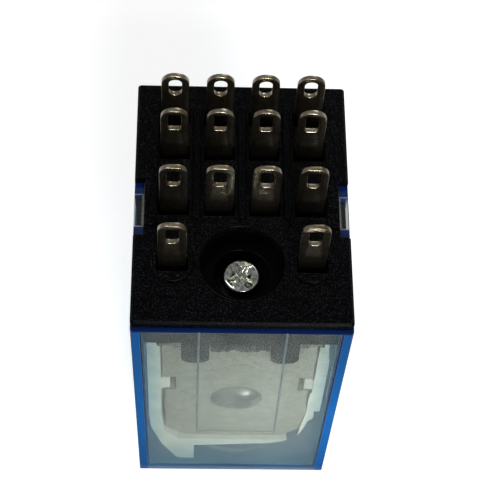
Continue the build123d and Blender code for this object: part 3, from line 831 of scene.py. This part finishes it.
def route_curve(name: str, points: list[Vector], radius: float, order: int = 3) -> bpy.types.Curve:
    """A smooth round wire whose route has these control points.

    Args:
        name: The curve's name.
        points: Control points in metres.
        radius: Radius of the wire; zero gives the bare line.
        order: The spline's order.

    Returns:
        The curve's data.
    """
    curve = bpy.data.curves.new(name, "CURVE")
    curve.dimensions = "3D"
    curve.bevel_depth = radius
    curve.bevel_resolution = 3
    curve.use_fill_caps = True
    spline = curve.splines.new("NURBS")
    spline.points.add(len(points) - 1)
    for control, point in zip(spline.points, points):
        control.co = (*point, 1.0)
    spline.order_u = order
    spline.use_endpoint_u = True
    spline.resolution_u = 8
    return curve


def joined(meshes: list[bpy.types.Mesh]) -> bpy.types.Mesh:
    """Join meshes into the first one and drop the others.

    Args:
        meshes: The meshes, all in the same frame.

    Returns:
        One mesh that holds every face.
    """
    whole = bmesh.new()
    for mesh in meshes:
        whole.from_mesh(mesh)
    whole.to_mesh(meshes[0])
    whole.free()
    for mesh in meshes[1:]:
        bpy.data.meshes.remove(mesh)
    return meshes[0]


def rounded_loop(
    width: float, low: float, high: float, low_radius: float, high_radius: float, steps: int = 10
) -> list[tuple[float, float]]:
    """A rectangle with round corners, centred across, as a closed loop.

    Args:
        width: Full width.
        low: Height of its lower edge.
        high: Height of its upper edge.
        low_radius: Radius of the two lower corners.
        high_radius: Radius of the two upper corners.
        steps: Segments in each corner.

    Returns:
        Points (across, up), anticlockwise from the lower right corner.
    """
    half = width / 2
    corners = (
        (half - low_radius, low + low_radius, low_radius, -90),
        (half - high_radius, high - high_radius, high_radius, 0),
        (high_radius - half, high - high_radius, high_radius, 90),
        (low_radius - half, low + low_radius, low_radius, 180),
    )
    loop = []
    for across, up, radius, start in corners:
        for step in range(steps + 1):
            angle = math.radians(start + 90 * step / steps)
            loop.append((across + radius * math.cos(angle), up + radius * math.sin(angle)))
    return loop


def plate(loops: list[list[tuple[float, float]]], thickness: float, edge: float) -> bpy.types.Mesh:
    """A flat plate with softened edges: the first loop is its outline and the others are holes.

    Args:
        loops: Closed loops in the plate's own X and Y.
        thickness: Full thickness, half each side of z = 0.
        edge: Radius of every edge.

    Returns:
        The plate's mesh.
    """
    curve = bpy.data.curves.new("plate", "CURVE")
    curve.dimensions = "2D"
    curve.fill_mode = "BOTH"
    curve.extrude = thickness / 2 - edge
    curve.bevel_depth = edge
    curve.bevel_resolution = 2
    curve.offset = -edge
    for loop in loops:
        spline = curve.splines.new("POLY")
        spline.points.add(len(loop) - 1)
        for control, (across, up) in zip(spline.points, loop):
            control.co = (across, up, 0.0, 1.0)
        spline.use_cyclic_u = True
    return curve_mesh(curve)


def shade_by_angle(mesh: bpy.types.Mesh, degrees: float = 28.0) -> bpy.types.Mesh:
    """Weld doubled points, then smooth every face but keep edges sharper than an angle.

    Args:
        mesh: The mesh to change.
        degrees: Edges that turn more than this stay sharp.

    Returns:
        The same mesh.
    """
    work = bmesh.new()
    work.from_mesh(mesh)
    bmesh.ops.remove_doubles(work, verts=work.verts, dist=0.0005 * MM)
    bmesh.ops.recalc_face_normals(work, faces=work.faces)
    for face in work.faces:
        face.smooth = True
    for edge in work.edges:
        if len(edge.link_faces) == 2 and edge.calc_face_angle(0.0) > math.radians(degrees):
            edge.smooth = False
    work.to_mesh(mesh)
    work.free()
    return mesh


@dataclass
class Terminals:
    """The fourteen blades, stamped from sheet with softened edges, with the strips that run inside."""

    tip_z: float = 41.4 * MM
    inside_z: float = 31.2 * MM
    strip_z: float = 31.55 * MM
    width: float = 2.7 * MM
    tail_width: float = 2.2 * MM
    thickness: float = 0.5 * MM
    edge: float = 0.07 * MM
    tail_low_z: float = 8.3 * MM
    contact_z: float = 10.0 * MM
    rivet_radius: float = 0.4 * MM
    eye_width: float = 1.28 * MM
    eye_low_z: float = 38.42 * MM
    eye_high_z: float = 40.82 * MM
    pitch: float = 4.4 * MM
    corner: float = 0.05 * MM
    straight_tip_radius: float = 1.28 * MM
    bent_tip_radius: float = 1.05 * MM
    bent_eye_radius: float = 0.42 * MM
    tail_corner: float = 0.2 * MM
    strip_edge_share: float = 0.6

    def columns(self) -> list[float]:
        """The four columns' places across the relay."""
        return [self.pitch * (i - (POLES - 1) / 2) for i in range(POLES)]

    def stand(self, mesh: bpy.types.Mesh, x: float, y: float) -> bpy.types.Mesh:
        """Turn a plate drawn flat so that it stands up, parallel to X and Z, at x and y."""
        mesh.transform(Matrix.Translation((x, y, 0.0)) @ Matrix.Rotation(math.radians(90), 4, "X"))
        return mesh

    def blade_loops(
        self, low: float, tip_radius: float, eye_radius: float
    ) -> list[list[tuple[float, float]]]:
        """The outline of a blade down to a height, and its solder eye.

        Args:
            low: Height of the outline's lower edge.
            tip_radius: Corner radius of the blade's tip.
            eye_radius: Corner radius of its solder eye.

        Returns:
            The two closed loops.
        """
        return [
            rounded_loop(self.width, low, self.tip_z, self.corner, tip_radius),
            rounded_loop(self.eye_width, self.eye_low_z, self.eye_high_z, eye_radius, eye_radius),
        ]

    def straight(self, x: float, y: float, eye_radius: float) -> bpy.types.Mesh:
        """A blade that runs straight down to its fixed contact.

        Args:
            x: Place across.
            y: Place along.
            eye_radius: Corner radius of its solder eye.

        Returns:
            The blade's mesh.
        """
        loops = self.blade_loops(self.inside_z, self.straight_tip_radius, eye_radius)
        upper = plate(loops, self.thickness, self.edge)
        rivet_hole = [
            (self.rivet_radius * math.cos(a), self.contact_z + self.rivet_radius * math.sin(a))
            for a in (math.tau * i / 24 for i in range(24))
        ]
        tail = rounded_loop(
            self.tail_width, self.tail_low_z, self.inside_z, self.tail_corner, self.corner
        )
        lower = plate([tail, rivet_hole], self.thickness, self.edge)
        return shade_by_angle(self.stand(joined([upper, lower]), x, y))

    def bent(self, x: float, y: float, tail_y: float, tail_z: float) -> bpy.types.Mesh:
        """A blade whose strip turns under the face of the base and ends in a tail.

        Args:
            x: Place across.
            y: Place of the blade along.
            tail_y: Place of the tail along.
            tail_z: Height of the tail's end.

        Returns:
            The terminal's mesh.
        """
        half = self.thickness / 2
        under = self.strip_z - half
        loops = self.blade_loops(under, self.bent_tip_radius, self.bent_eye_radius)
        upper = self.stand(plate(loops, self.thickness, self.edge), x, y)
        away = 1 if tail_y > y else -1
        profile = [
            (y - away * half, under),
            (y - away * half, self.strip_z + half),
            (tail_y + away * half, self.strip_z + half),
            (tail_y + away * half, tail_z),
            (tail_y - away * half, tail_z),
            (tail_y - away * half, under),
        ]
        strip = plate([profile], self.tail_width, self.edge * self.strip_edge_share)
        upright = Matrix(((0, 0, 1, x), (1, 0, 0, 0), (0, 1, 0, 0), (0, 0, 0, 1)))
        strip.transform(upright)
        return shade_by_angle(joined([upper, strip]))

    def build(self) -> None:
        """Make and dress every terminal."""
        rows = (("nc", 10.0 * MM, 0.6 * MM), ("no", 5.9 * MM, 0.25 * MM))
        for number, x in enumerate(self.columns(), start=1):
            for row, y, eye_radius in rows:
                self.finish(self.straight(x, y, eye_radius), f"{row}_{number}")
            self.finish(self.bent(x, -0.5 * MM, 4.65 * MM, 28.9 * MM), f"com_{number}")
        for number, x in enumerate((-1.5 * self.pitch, 1.5 * self.pitch), start=1):
            self.finish(self.bent(x, -6.8 * MM, -12.55 * MM, 30.35 * MM), f"coil_{number}")

    def finish(self, mesh: bpy.types.Mesh, place: str) -> None:
        """Dress one terminal and fix it to the frame."""
        piece = adopt(mesh, f"blade_{place}", Finishes.BLADE, (f"terminal_{place}",))
        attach(piece, FRAME_BODY)


@dataclass
class BraidedPigtails:
    """The bare copper braids that carry the current to the moving springs."""

    braid_radius: float = 0.25 * MM
    strand_radius: float = 0.055 * MM
    strands: int = 7
    turn_length: float = 1.9 * MM
    weave: float = 0.035 * MM
    columns: list[float] = field(default_factory=lambda: Terminals().columns())

    def route(self, x: float) -> list[Vector]:
        """The control points of one pigtail, round the blade of the open contact.

        Args:
            x: The pole's place across.

        Returns:
            The points, from the fixed tail to the moving spring.
        """
        side = 1 if x > 0 else -1
        reach = 2.1 * side
        points = (
            (0.0, 5.25, 29.3),
            (reach, 5.3, 28.3),
            (reach, 7.2, 26.9),
            (0.6 * side, 8.15, 25.4),
            (0.4 * side, 8.17, 24.0),
        )
        return [Vector((x + dx * MM, y * MM, z * MM)) for dx, y, z in points]

    def centre_line(self, x: float) -> list[Vector]:
        """Points read from the route's smooth spline.

        Args:
            x: The pole's place across.

        Returns:
            The points in order.
        """
        line = route_curve("line", self.route(x), 0.0)
        line.splines[0].resolution_u = 24
        line.use_fill_caps = False
        mesh = curve_mesh(line)
        points = [vertex.co.copy() for vertex in mesh.vertices]
        bpy.data.meshes.remove(mesh)
        return points

    def braid(self, x: float) -> bpy.types.Mesh:
        """Two sets of strands that wind opposite ways round the centre line, over and under.

        Args:
            x: The pole's place across.

        Returns:
            The braid's mesh.
        """
        line = self.centre_line(x)
        curve = bpy.data.curves.new("braid", "CURVE")
        curve.dimensions = "3D"
        curve.bevel_depth = self.strand_radius
        curve.bevel_resolution = 1
        for strand in range(2 * self.strands):
            way = 1 if strand % 2 else -1
            start = math.tau * (strand // 2) / self.strands
            spline = curve.splines.new("POLY")
            spline.points.add(len(line) - 1)
            travelled = 0.0
            across = Vector((0, 0, 1))
            for i, point in enumerate(line):
                ahead = line[min(i + 1, len(line) - 1)] - line[max(i - 1, 0)]
                tangent = ahead.normalized()
                travelled += (point - line[i - 1]).length if i else 0.0
                across = (across - tangent * across.dot(tangent)).normalized()
                other = tangent.cross(across)
                angle = start + way * math.tau * travelled / self.turn_length
                over = self.weave * math.cos(self.strands * angle) * way
                radius = self.braid_radius - self.strand_radius + over
                spot = point + (across * math.cos(angle) + other * math.sin(angle)) * radius
                spline.points[i].co = (*spot, 1.0)
        return curve_mesh(curve)

    def build(self) -> None:
        """Make and dress each braid."""
        for number, x in enumerate(self.columns, start=1):
            mesh = shade_by_angle(self.braid(x), 60.0)
            name = f"pigtail_braid_{number}"
            piece = adopt(mesh, name, Finishes.COPPER, (f"pigtail_{number}",))
            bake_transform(piece)


@dataclass
class ReturnSpring:
    """The close-wound spring between the armature's lug and the post of the base."""

    height: float = 27.0 * MM
    front_y: float = 5.05 * MM
    rear_y: float = 11.25 * MM
    radius: float = 0.68 * MM
    wire: float = 0.11 * MM
    turns: int = 19
    steps: int = 20

    def coil(self) -> bpy.types.Mesh:
        """The helix, with its first and last half turns running in to the axis.

        Returns:
            The spring's mesh.
        """
        count = self.turns * self.steps
        points = []
        for i in range(count + 1):
            share = i / count
            angle = math.tau * self.turns * share
            closing = min(1.0, share * self.turns * 2, (1 - share) * self.turns * 2)
            radius = self.radius * (0.25 + 0.75 * math.sin(closing * math.pi / 2))
            along = self.front_y + (self.rear_y - self.front_y) * share
            points.append(Vector((radius * math.cos(angle), along, self.height + radius * math.sin(angle))))
        points.insert(0, Vector((0, self.front_y - 0.15 * MM, self.height)))
        points.append(Vector((0, self.rear_y + 0.1 * MM, self.height)))
        return curve_mesh(route_curve("spring", points, self.wire))

    def build(self) -> None:
        """Make and dress the spring."""
        piece = adopt(
            shade_by_angle(self.coil(), 60.0),
            "return_spring_coil",
            Finishes.SPRING,
            ("return_spring",),
        )
        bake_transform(piece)


@dataclass
class CoilFittings:
    """What dresses the coil: its leads, solder, tape and the bead of glue at the head of the yoke."""

    core_z: float = 17.1 * MM
    tape_inner: float = 8.12 * MM
    tape_outer: float = 8.23 * MM
    tape_thickness: float = 0.05 * MM
    tape_front_y: float = -9.66 * MM
    tape_rear_y: float = -0.05 * MM
    lead_radius: float = 0.16 * MM
    tail_x: float = 6.6 * MM
    solder_spots: tuple = (
        ((0.75, -12.3, 30.6), (0.5, 0.3, 0.32)),
        ((-0.5, -12.82, 30.32), (0.34, 0.14, 0.2)),
        ((1.15, -12.6, 30.2), (0.26, 0.2, 0.24)),
    )
    solder_uneven: float = 0.18
    rolls: random.Random = field(default_factory=lambda: random.Random(11))

    def lead(self, side: int) -> bpy.types.Mesh:
        """One lead, from the coil tail behind the bobbin's lip to the winding.

        Args:
            side: -1 for the left lead and 1 for the right one.

        Returns:
            The lead's mesh.
        """
        points = (
            (7.2, -12.1, 30.75),
            (7.85, -11.25, 30.55),
            (8.15, -10.55, 28.6),
            (7.8, -9.3, 25.2),
            (6.8, -8.9, 22.2),
        )
        route = [Vector((side * x * MM, y * MM, z * MM)) for x, y, z in points]
        return curve_mesh(route_curve("lead", route, self.lead_radius))

    def lump(self, centre: Vector, size: Vector, uneven: float) -> bpy.types.Mesh:
        """A lump that set from a liquid: round, with a few soft dents.

        Args:
            centre: Its middle.
            size: Its half sizes along X, Y and Z.
            uneven: How far its surface wanders, as a share of its size.

        Returns:
            The lump's mesh.
        """
        work = bmesh.new()
        bmesh.ops.create_icosphere(work, subdivisions=4, radius=1.0)
        waves = [
            (Vector([self.rolls.uniform(-1, 1) for _ in range(3)]) * 3.2, self.rolls.uniform(0, math.tau))
            for _ in range(5)
        ]
        for vertex in work.verts:
            swell = sum(math.sin(wave.dot(vertex.co) + phase) for wave, phase in waves) / len(waves)
            moved = vertex.co * (1 + uneven * swell)
            vertex.co = centre + Vector([moved[i] * size[i] for i in range(3)])
        mesh = bpy.data.meshes.new("lump")
        work.to_mesh(mesh)
        work.free()
        return shade_by_angle(mesh, 80.0)

    def tape(self) -> bpy.types.Mesh:
        """Tape wound once and a bit round the winding, with a lifted end and a faintly uneven edge.

        Returns:
            The tape's mesh.
        """
        around = 150
        along = 12
        start_degrees = 40.0
        lap_degrees = 400.0
        lifted_from = 0.97
        lift_height = 0.02 * MM
        sag_height = 0.008 * MM
        work = bmesh.new()
        rows = []
        for i in range(around + 1):
            share = i / around
            angle = math.radians(start_degrees + lap_degrees * share)
            lift = lift_height * max(0.0, (share - lifted_from) / (1.0 - lifted_from))
            build_up = self.tape_outer - self.tape_inner - self.tape_thickness
            radius = self.tape_inner + build_up * share + lift
            row = []
            for j in range(along + 1):
                part = j / along
                y = self.tape_front_y + (self.tape_rear_y - self.tape_front_y) * part
                sag = sag_height * math.sin(9 * angle + 5 * part) * math.sin(math.pi * part)
                spot = Vector((math.cos(angle), 0, math.sin(angle))) * (radius + sag)
                row.append(work.verts.new((spot.x, y, self.core_z + spot.z)))
            rows.append(row)
        for i in range(around):
            for j in range(along):
                work.faces.new((rows[i][j], rows[i][j + 1], rows[i + 1][j + 1], rows[i + 1][j]))
        bmesh.ops.recalc_face_normals(work, faces=work.faces)
        bmesh.ops.solidify(work, geom=list(work.faces), thickness=-self.tape_thickness)
        mesh = bpy.data.meshes.new("tape")
        work.to_mesh(mesh)
        work.free()
        return shade_by_angle(mesh)

    def glue_bead(self) -> bpy.types.Mesh:
        """The rough bead of glue along the bend of the yoke, between the two tabs of the base.

        Returns:
            The bead's mesh.
        """
        columns = 90
        rows = 12
        half_width = 2.85 * MM
        top_z = 29.75 * MM
        edge_z = 27.75 * MM
        edge_wander = 0.17 * MM
        face_y = -12.14 * MM
        back_y = -12.12 * MM
        proud = 0.26 * MM
        work = bmesh.new()
        phases = [self.rolls.uniform(0, math.tau) for _ in range(4)]
        grid = []
        for i in range(columns + 1):
            x = half_width * (2 * i / columns - 1)
            ragged = sum(math.sin(x / MM * (2.3 + 2.1 * k) + phases[k]) / (k + 1) for k in range(4))
            low_z = edge_z + edge_wander * ragged
            line = []
            for j in range(rows + 1):
                share = j / rows
                z = low_z + (top_z - low_z) * share
                swell = math.sin(math.pi * min(1.0, share * 1.02)) * (1 - (x / half_width) ** 8)
                wave = 1 + 0.3 * math.sin(x / MM * 7 + phases[1]) * math.cos(share * 6 + phases[2])
                line.append(work.verts.new((x, face_y - proud * swell * wave, z)))
            grid.append(line)
        for i in range(columns):
            for j in range(rows):
                work.faces.new((grid[i][j], grid[i + 1][j], grid[i + 1][j + 1], grid[i][j + 1]))
        back = bmesh.ops.duplicate(work, geom=list(work.faces))
        for item in back["geom"]:
            if isinstance(item, bmesh.types.BMVert):
                item.co.y = back_y
        loose = [edge for edge in work.edges if edge.is_boundary]
        bmesh.ops.bridge_loops(work, edges=loose)
        bmesh.ops.recalc_face_normals(work, faces=work.faces)
        mesh = bpy.data.meshes.new("glue")
        work.to_mesh(mesh)
        work.free()
        return shade_by_angle(mesh, 50.0)

    def tape_tail(self) -> bpy.types.Mesh:
        """The loose end of the film round the coil, which hangs as a thin arc below the bobbin.

        Returns:
            The film's mesh.
        """
        points = ((-4.0, 6.6), (-3.2, 4.9), (-0.5, 2.7), (2.6, 3.3), (5.9, 6.9))
        front_y = -12.2 * MM
        width = 0.45 * MM
        thickness = 0.05 * MM
        line = route_curve("tail", [Vector((x * MM, front_y, z * MM)) for x, z in points], 0.0)
        line.use_fill_caps = False
        line.splines[0].resolution_u = 16
        mesh = curve_mesh(line)
        centre = [vertex.co.copy() for vertex in mesh.vertices]
        bpy.data.meshes.remove(mesh)
        work = bmesh.new()
        rows = []
        for i, spot in enumerate(centre):
            taper = math.sin(math.pi * min(1.0, 0.06 + i / (len(centre) - 1) * 0.92)) ** 0.5
            rows.append(
                [work.verts.new((spot.x, front_y + width * taper * k / 3, spot.z)) for k in range(4)]
            )
        for first, second in zip(rows, rows[1:]):
            for k in range(3):
                work.faces.new((first[k], first[k + 1], second[k + 1], second[k]))
        bmesh.ops.solidify(work, geom=list(work.faces), thickness=thickness)
        tail = bpy.data.meshes.new("tape_tail")
        work.to_mesh(tail)
        work.free()
        return shade_by_angle(tail, 40.0)

    def build(self) -> None:
        """Make and dress every fitting, all fixed to the frame."""
        pieces = [
            adopt(self.glue_bead(), "yoke_glue_bead", Finishes.GLUE),
            adopt(self.tape_tail(), "coil_tape_tail", Finishes.FILM),
        ]
        for number, side in enumerate((-1, 1), start=1):
            pieces.append(
                adopt(
                    shade_by_angle(self.lead(side), 60.0),
                    f"coil_lead_wire_{number}",
                    Finishes.ENAMEL,
                    (f"coil_lead_{number}",),
                )
            )
            lumps = []
            for (out, y, z), size in self.solder_spots:
                centre = Vector((side * (self.tail_x + out * MM), y * MM, z * MM))
                lumps.append(self.lump(centre, Vector(size) * MM, self.solder_uneven))
            solder = joined(lumps)
            pieces.append(adopt(solder, f"coil_solder_{number}", Finishes.SOLDER))
        for number, x in enumerate(Terminals().columns(), start=1):
            centre = Vector((x, 4.98 * MM, 29.3 * MM))
            blob = self.lump(centre, Vector((0.42, 0.3, 0.36)) * MM, self.solder_uneven)
            pieces.append(adopt(blob, f"common_solder_{number}", Finishes.SOLDER))
        pieces.append(adopt(self.tape(), "coil_tape_wrap", Finishes.TAPE, ("coil_tape",)))
        for piece in pieces:
            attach(piece, FRAME_BODY)


@dataclass
class BaseScrew:
    """The pan-head screw that holds the base on the yoke, with a flared cross recess."""

    centre_y: float = -7.05 * MM
    seat_z: float = 31.4 * MM
    head_radius: float = 1.97 * MM
    head_height: float = 1.35 * MM
    rise: float = 0.2 * MM
    edge: float = 0.42 * MM
    shank_radius: float = 1.2 * MM
    shank_end_z: float = 28.0 * MM
    pitch: float = 0.45 * MM
    wing_reach: float = 1.5 * MM
    wing_half: float = 0.56 * MM
    recess_depth: float = 0.6 * MM
    turn: float = math.radians(35.0)
    wing_taper: float = 0.35
    wing_slope: float = 1.5
    wing_runout: float = 0.55
    crown_power: float = 2.5
    bowl_depth_share: float = 1.1
    bowl_reach_share: float = 0.62
    thread_start: float = 0.35
    thread_root_share: float = 0.84
    point_share: float = 0.6
    around: int = 144
    rings: int = 52

    def wing(self, along: float, across: float) -> float:
        """Depth of one pair of wings: steep facets that meet in a line and run out at the tips.

        Args:
            along: Distance from the axis along the wings.
            across: Distance from their middle line.

        Returns:
            The depth.
        """
        half = self.wing_half * (1.0 - self.wing_taper * min(1.0, along / self.wing_reach))
        side = max(0.0, 1.0 - across / half)
        tip = max(0.0, min(1.0, (self.wing_reach - along) / (self.wing_runout * self.wing_reach)))
        return self.recess_depth * min(side * self.wing_slope, tip, 1.0)

    def top(self, x: float, y: float) -> float:
        """Height of the head's upper face over the seat, at a place from the screw's axis.

        Args:
            x: Place across.
            y: Place along.

        Returns:
            The height.
        """
        radius = math.hypot(x, y)
        share = radius / self.head_radius
        height = self.head_height - self.rise * share**self.crown_power
        inward = self.head_radius - radius
        if inward < self.edge:
            height -= self.edge - math.sqrt(max(0.0, self.edge**2 - (self.edge - inward) ** 2))
        along = abs(x * math.cos(self.turn) + y * math.sin(self.turn))
        across = abs(-x * math.sin(self.turn) + y * math.cos(self.turn))
        bowl_reach = self.bowl_reach_share * self.wing_reach
        bowl = self.recess_depth * self.bowl_depth_share * max(0.0, 1.0 - radius / bowl_reach)
        return height - max(self.wing(along, across), self.wing(across, along), bowl)

    def mesh(self) -> bpy.types.Mesh:
        """The head as a fine dished face, and a threaded shank below it.

        Returns:
            The screw's mesh.
        """
        profile = []
        for ring in range(self.rings + 1):
            radius = self.head_radius * math.sin(ring / self.rings * math.pi / 2)
            profile.append((radius, None))
        profile.append((self.head_radius, self.seat_z))
        profile.append((self.shank_radius, self.seat_z))
        threads = int((self.seat_z - self.shank_end_z) / self.pitch)
        for thread in range(threads):
            high = self.seat_z - (thread + self.thread_start) * self.pitch
            profile.append((self.shank_radius * self.thread_root_share, high))
            profile.append((self.shank_radius, high - self.pitch / 2))
        profile.append((self.shank_radius * self.point_share, self.shank_end_z))
        work = bmesh.new()
        rows = []
        for radius, height in profile[1:]:
            row = []
            for step in range(self.around):
                angle = math.tau * step / self.around
                x, y = radius * math.cos(angle), radius * math.sin(angle)
                z = self.seat_z + self.top(x, y) if height is None else height
                row.append(work.verts.new((x, y + self.centre_y, z)))
            rows.append(row)
        for upper, lower in zip(rows, rows[1:]):
            for step in range(self.around):
                after = (step + 1) % self.around
                work.faces.new((upper[step], upper[after], lower[after], lower[step]))
        middle = work.verts.new((0.0, self.centre_y, self.seat_z + self.top(0.0, 0.0)))
        for step in range(self.around):
            work.faces.new((middle, rows[0][(step + 1) % self.around], rows[0][step]))
        work.faces.new(rows[-1])
        mesh = bpy.data.meshes.new("screw")
        work.to_mesh(mesh)
        work.free()
        return shade_by_angle(mesh, 22.0)

    def build(self) -> None:
        """Make and dress the screw, fixed to the frame."""
        piece = adopt(self.mesh(), "pan_head_screw", Finishes.SCREW, ("base_screw",))
        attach(piece, FRAME_BODY)


@dataclass(frozen=True)
class Lamp:
    """One square soft box: where it stands, its size in metres, its power in watts and its beam."""

    name: str
    place: tuple[float, float, float]
    size: float
    power: float
    spread_degrees: float = 180.0
    through_glass: bool = False


@dataclass
class Studio:
    """The pale glowing floor, the soft light and the camera."""

    azimuth: float = -4.51
    elevation: float = 59.75
    roll: float = 4.76
    distance: float = 158.41 * MM
    shift_right: float = 1.17 * MM
    shift_up: float = 2.76 * MM
    target_height: float = 20.0 * MM
    lens_mm: float = 108.5
    surround: float = 0.2
    backdrop: float = 0.9
    floor_half: float = 3.0
    floor_drop: float = 0.02 * MM
    lamps: tuple[Lamp, ...] = (
        Lamp("key_box", (0.08, -0.35, 0.32), 0.12, 1.08),
        Lamp("window_box", (0.05, -0.42, 0.045), 0.045, 0.1),
        Lamp("glint_lamp", (0.01, -0.046, 0.002), 0.006, 0.0014, spread_degrees=60.0, through_glass=True),
        Lamp("top_box", (-0.2, 0.05, 0.55), 0.18, 0.5),
        Lamp("back_box", (0.15, 0.45, 0.3), 0.2, 0.4),
    )

    def camera(self) -> None:
        """Place the camera that looks down on the blades."""
        turn, lift, tilt = (math.radians(a) for a in (self.azimuth, self.elevation, self.roll))
        back = Vector((math.sin(turn) * math.cos(lift), -math.cos(turn) * math.cos(lift), math.sin(lift)))
        right = Vector((math.cos(turn), math.sin(turn), 0.0))
        up = back.cross(right)
        place = Vector((0, 0, self.target_height)) + back * self.distance
        place += right * self.shift_right + up * self.shift_up
        side = right * math.cos(tilt) + up * math.sin(tilt)
        top = up * math.cos(tilt) - right * math.sin(tilt)
        data = bpy.data.cameras.new("camera")
        data.lens = self.lens_mm
        data.sensor_width = 36.0
        data.clip_start = 0.01
        eye = bpy.data.objects.new("camera", data)
        bpy.context.scene.collection.objects.link(eye)
        eye.matrix_world = Matrix.Translation(place) @ Matrix((side, top, back)).transposed().to_4x4()
        bpy.context.scene.camera = eye

    def floor(self) -> None:
        """A pale glowing floor that carries on out of sight."""
        mesh = bpy.data.meshes.new("floor")
        half = self.floor_half
        corners = [(-half, -half, 0), (half, -half, 0), (half, half, 0), (-half, half, 0)]
        mesh.from_pydata(corners, [], [(0, 1, 2, 3)])
        floor = bpy.data.objects.new("floor", mesh)
        floor.location.z = -self.floor_drop
        bpy.context.scene.collection.objects.link(floor)
        mesh.materials.append(StudioCard("glowing_studio_card", "#f4f4f4", roughness=1.0).build())

    def light(self) -> None:
        """A dim even surround that the lens sees as white, and soft boxes for the glints."""
        world = bpy.data.worlds.new("surround")
        world.use_nodes = True
        tree = world.node_tree
        rays = add_node(tree, "ShaderNodeLightPath")
        strength = add_node(
            tree,
            "ShaderNodeMapRange",
            {"Value": rays.outputs["Is Camera Ray"], "To Min": self.surround, "To Max": self.backdrop},
        )
        tree.links.new(strength.outputs["Result"], tree.nodes["Background"].inputs["Strength"])
        tree.nodes["Background"].inputs["Color"].default_value = (1.0, 1.0, 1.0, 1.0)
        bpy.context.scene.world = world
        for lamp in self.lamps:
            data = bpy.data.lights.new(lamp.name, "AREA")
            data.shape = "SQUARE"
            data.size = lamp.size
            data.energy = lamp.power
            data.spread = math.radians(lamp.spread_degrees)
            box = bpy.data.objects.new(lamp.name, data)
            box.location = lamp.place
            aim = Vector((0, 0, self.target_height)) - Vector(lamp.place)
            box.rotation_euler = aim.to_track_quat("-Z", "Y").to_euler()
            box.visible_camera = False
            box.visible_transmission = lamp.through_glass
            bpy.context.scene.collection.objects.link(box)

    def build(self) -> None:
        """Set up the whole studio."""
        bpy.context.scene.view_settings.view_transform = "Standard"
        self.camera()
        self.floor()
        self.light()


def dress_frame(nodes: dict[str, bpy.types.Object]) -> None:
    """Give every CAD node its finish.

    Args:
        nodes: Node name to its object.
    """
    for name, node in nodes.items():
        material = finish_of(name).value.build()
        for slot in node.material_slots:
            slot.material = material
        if not node.material_slots:
            node.data.materials.append(material)
        LOG.info("%s: %s", name, material.name)


def main() -> None:
    """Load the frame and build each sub-assembly in turn."""
    logging.basicConfig(level=logging.INFO, format="%(name)s: %(message)s")
    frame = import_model()
    Studio().build()
    dress_frame(frame["nodes"])
    Terminals().build()
    BraidedPigtails().build()
    ReturnSpring().build()
    CoilFittings().build()
    BaseScrew().build()


if __name__ == "__main__":
    main()
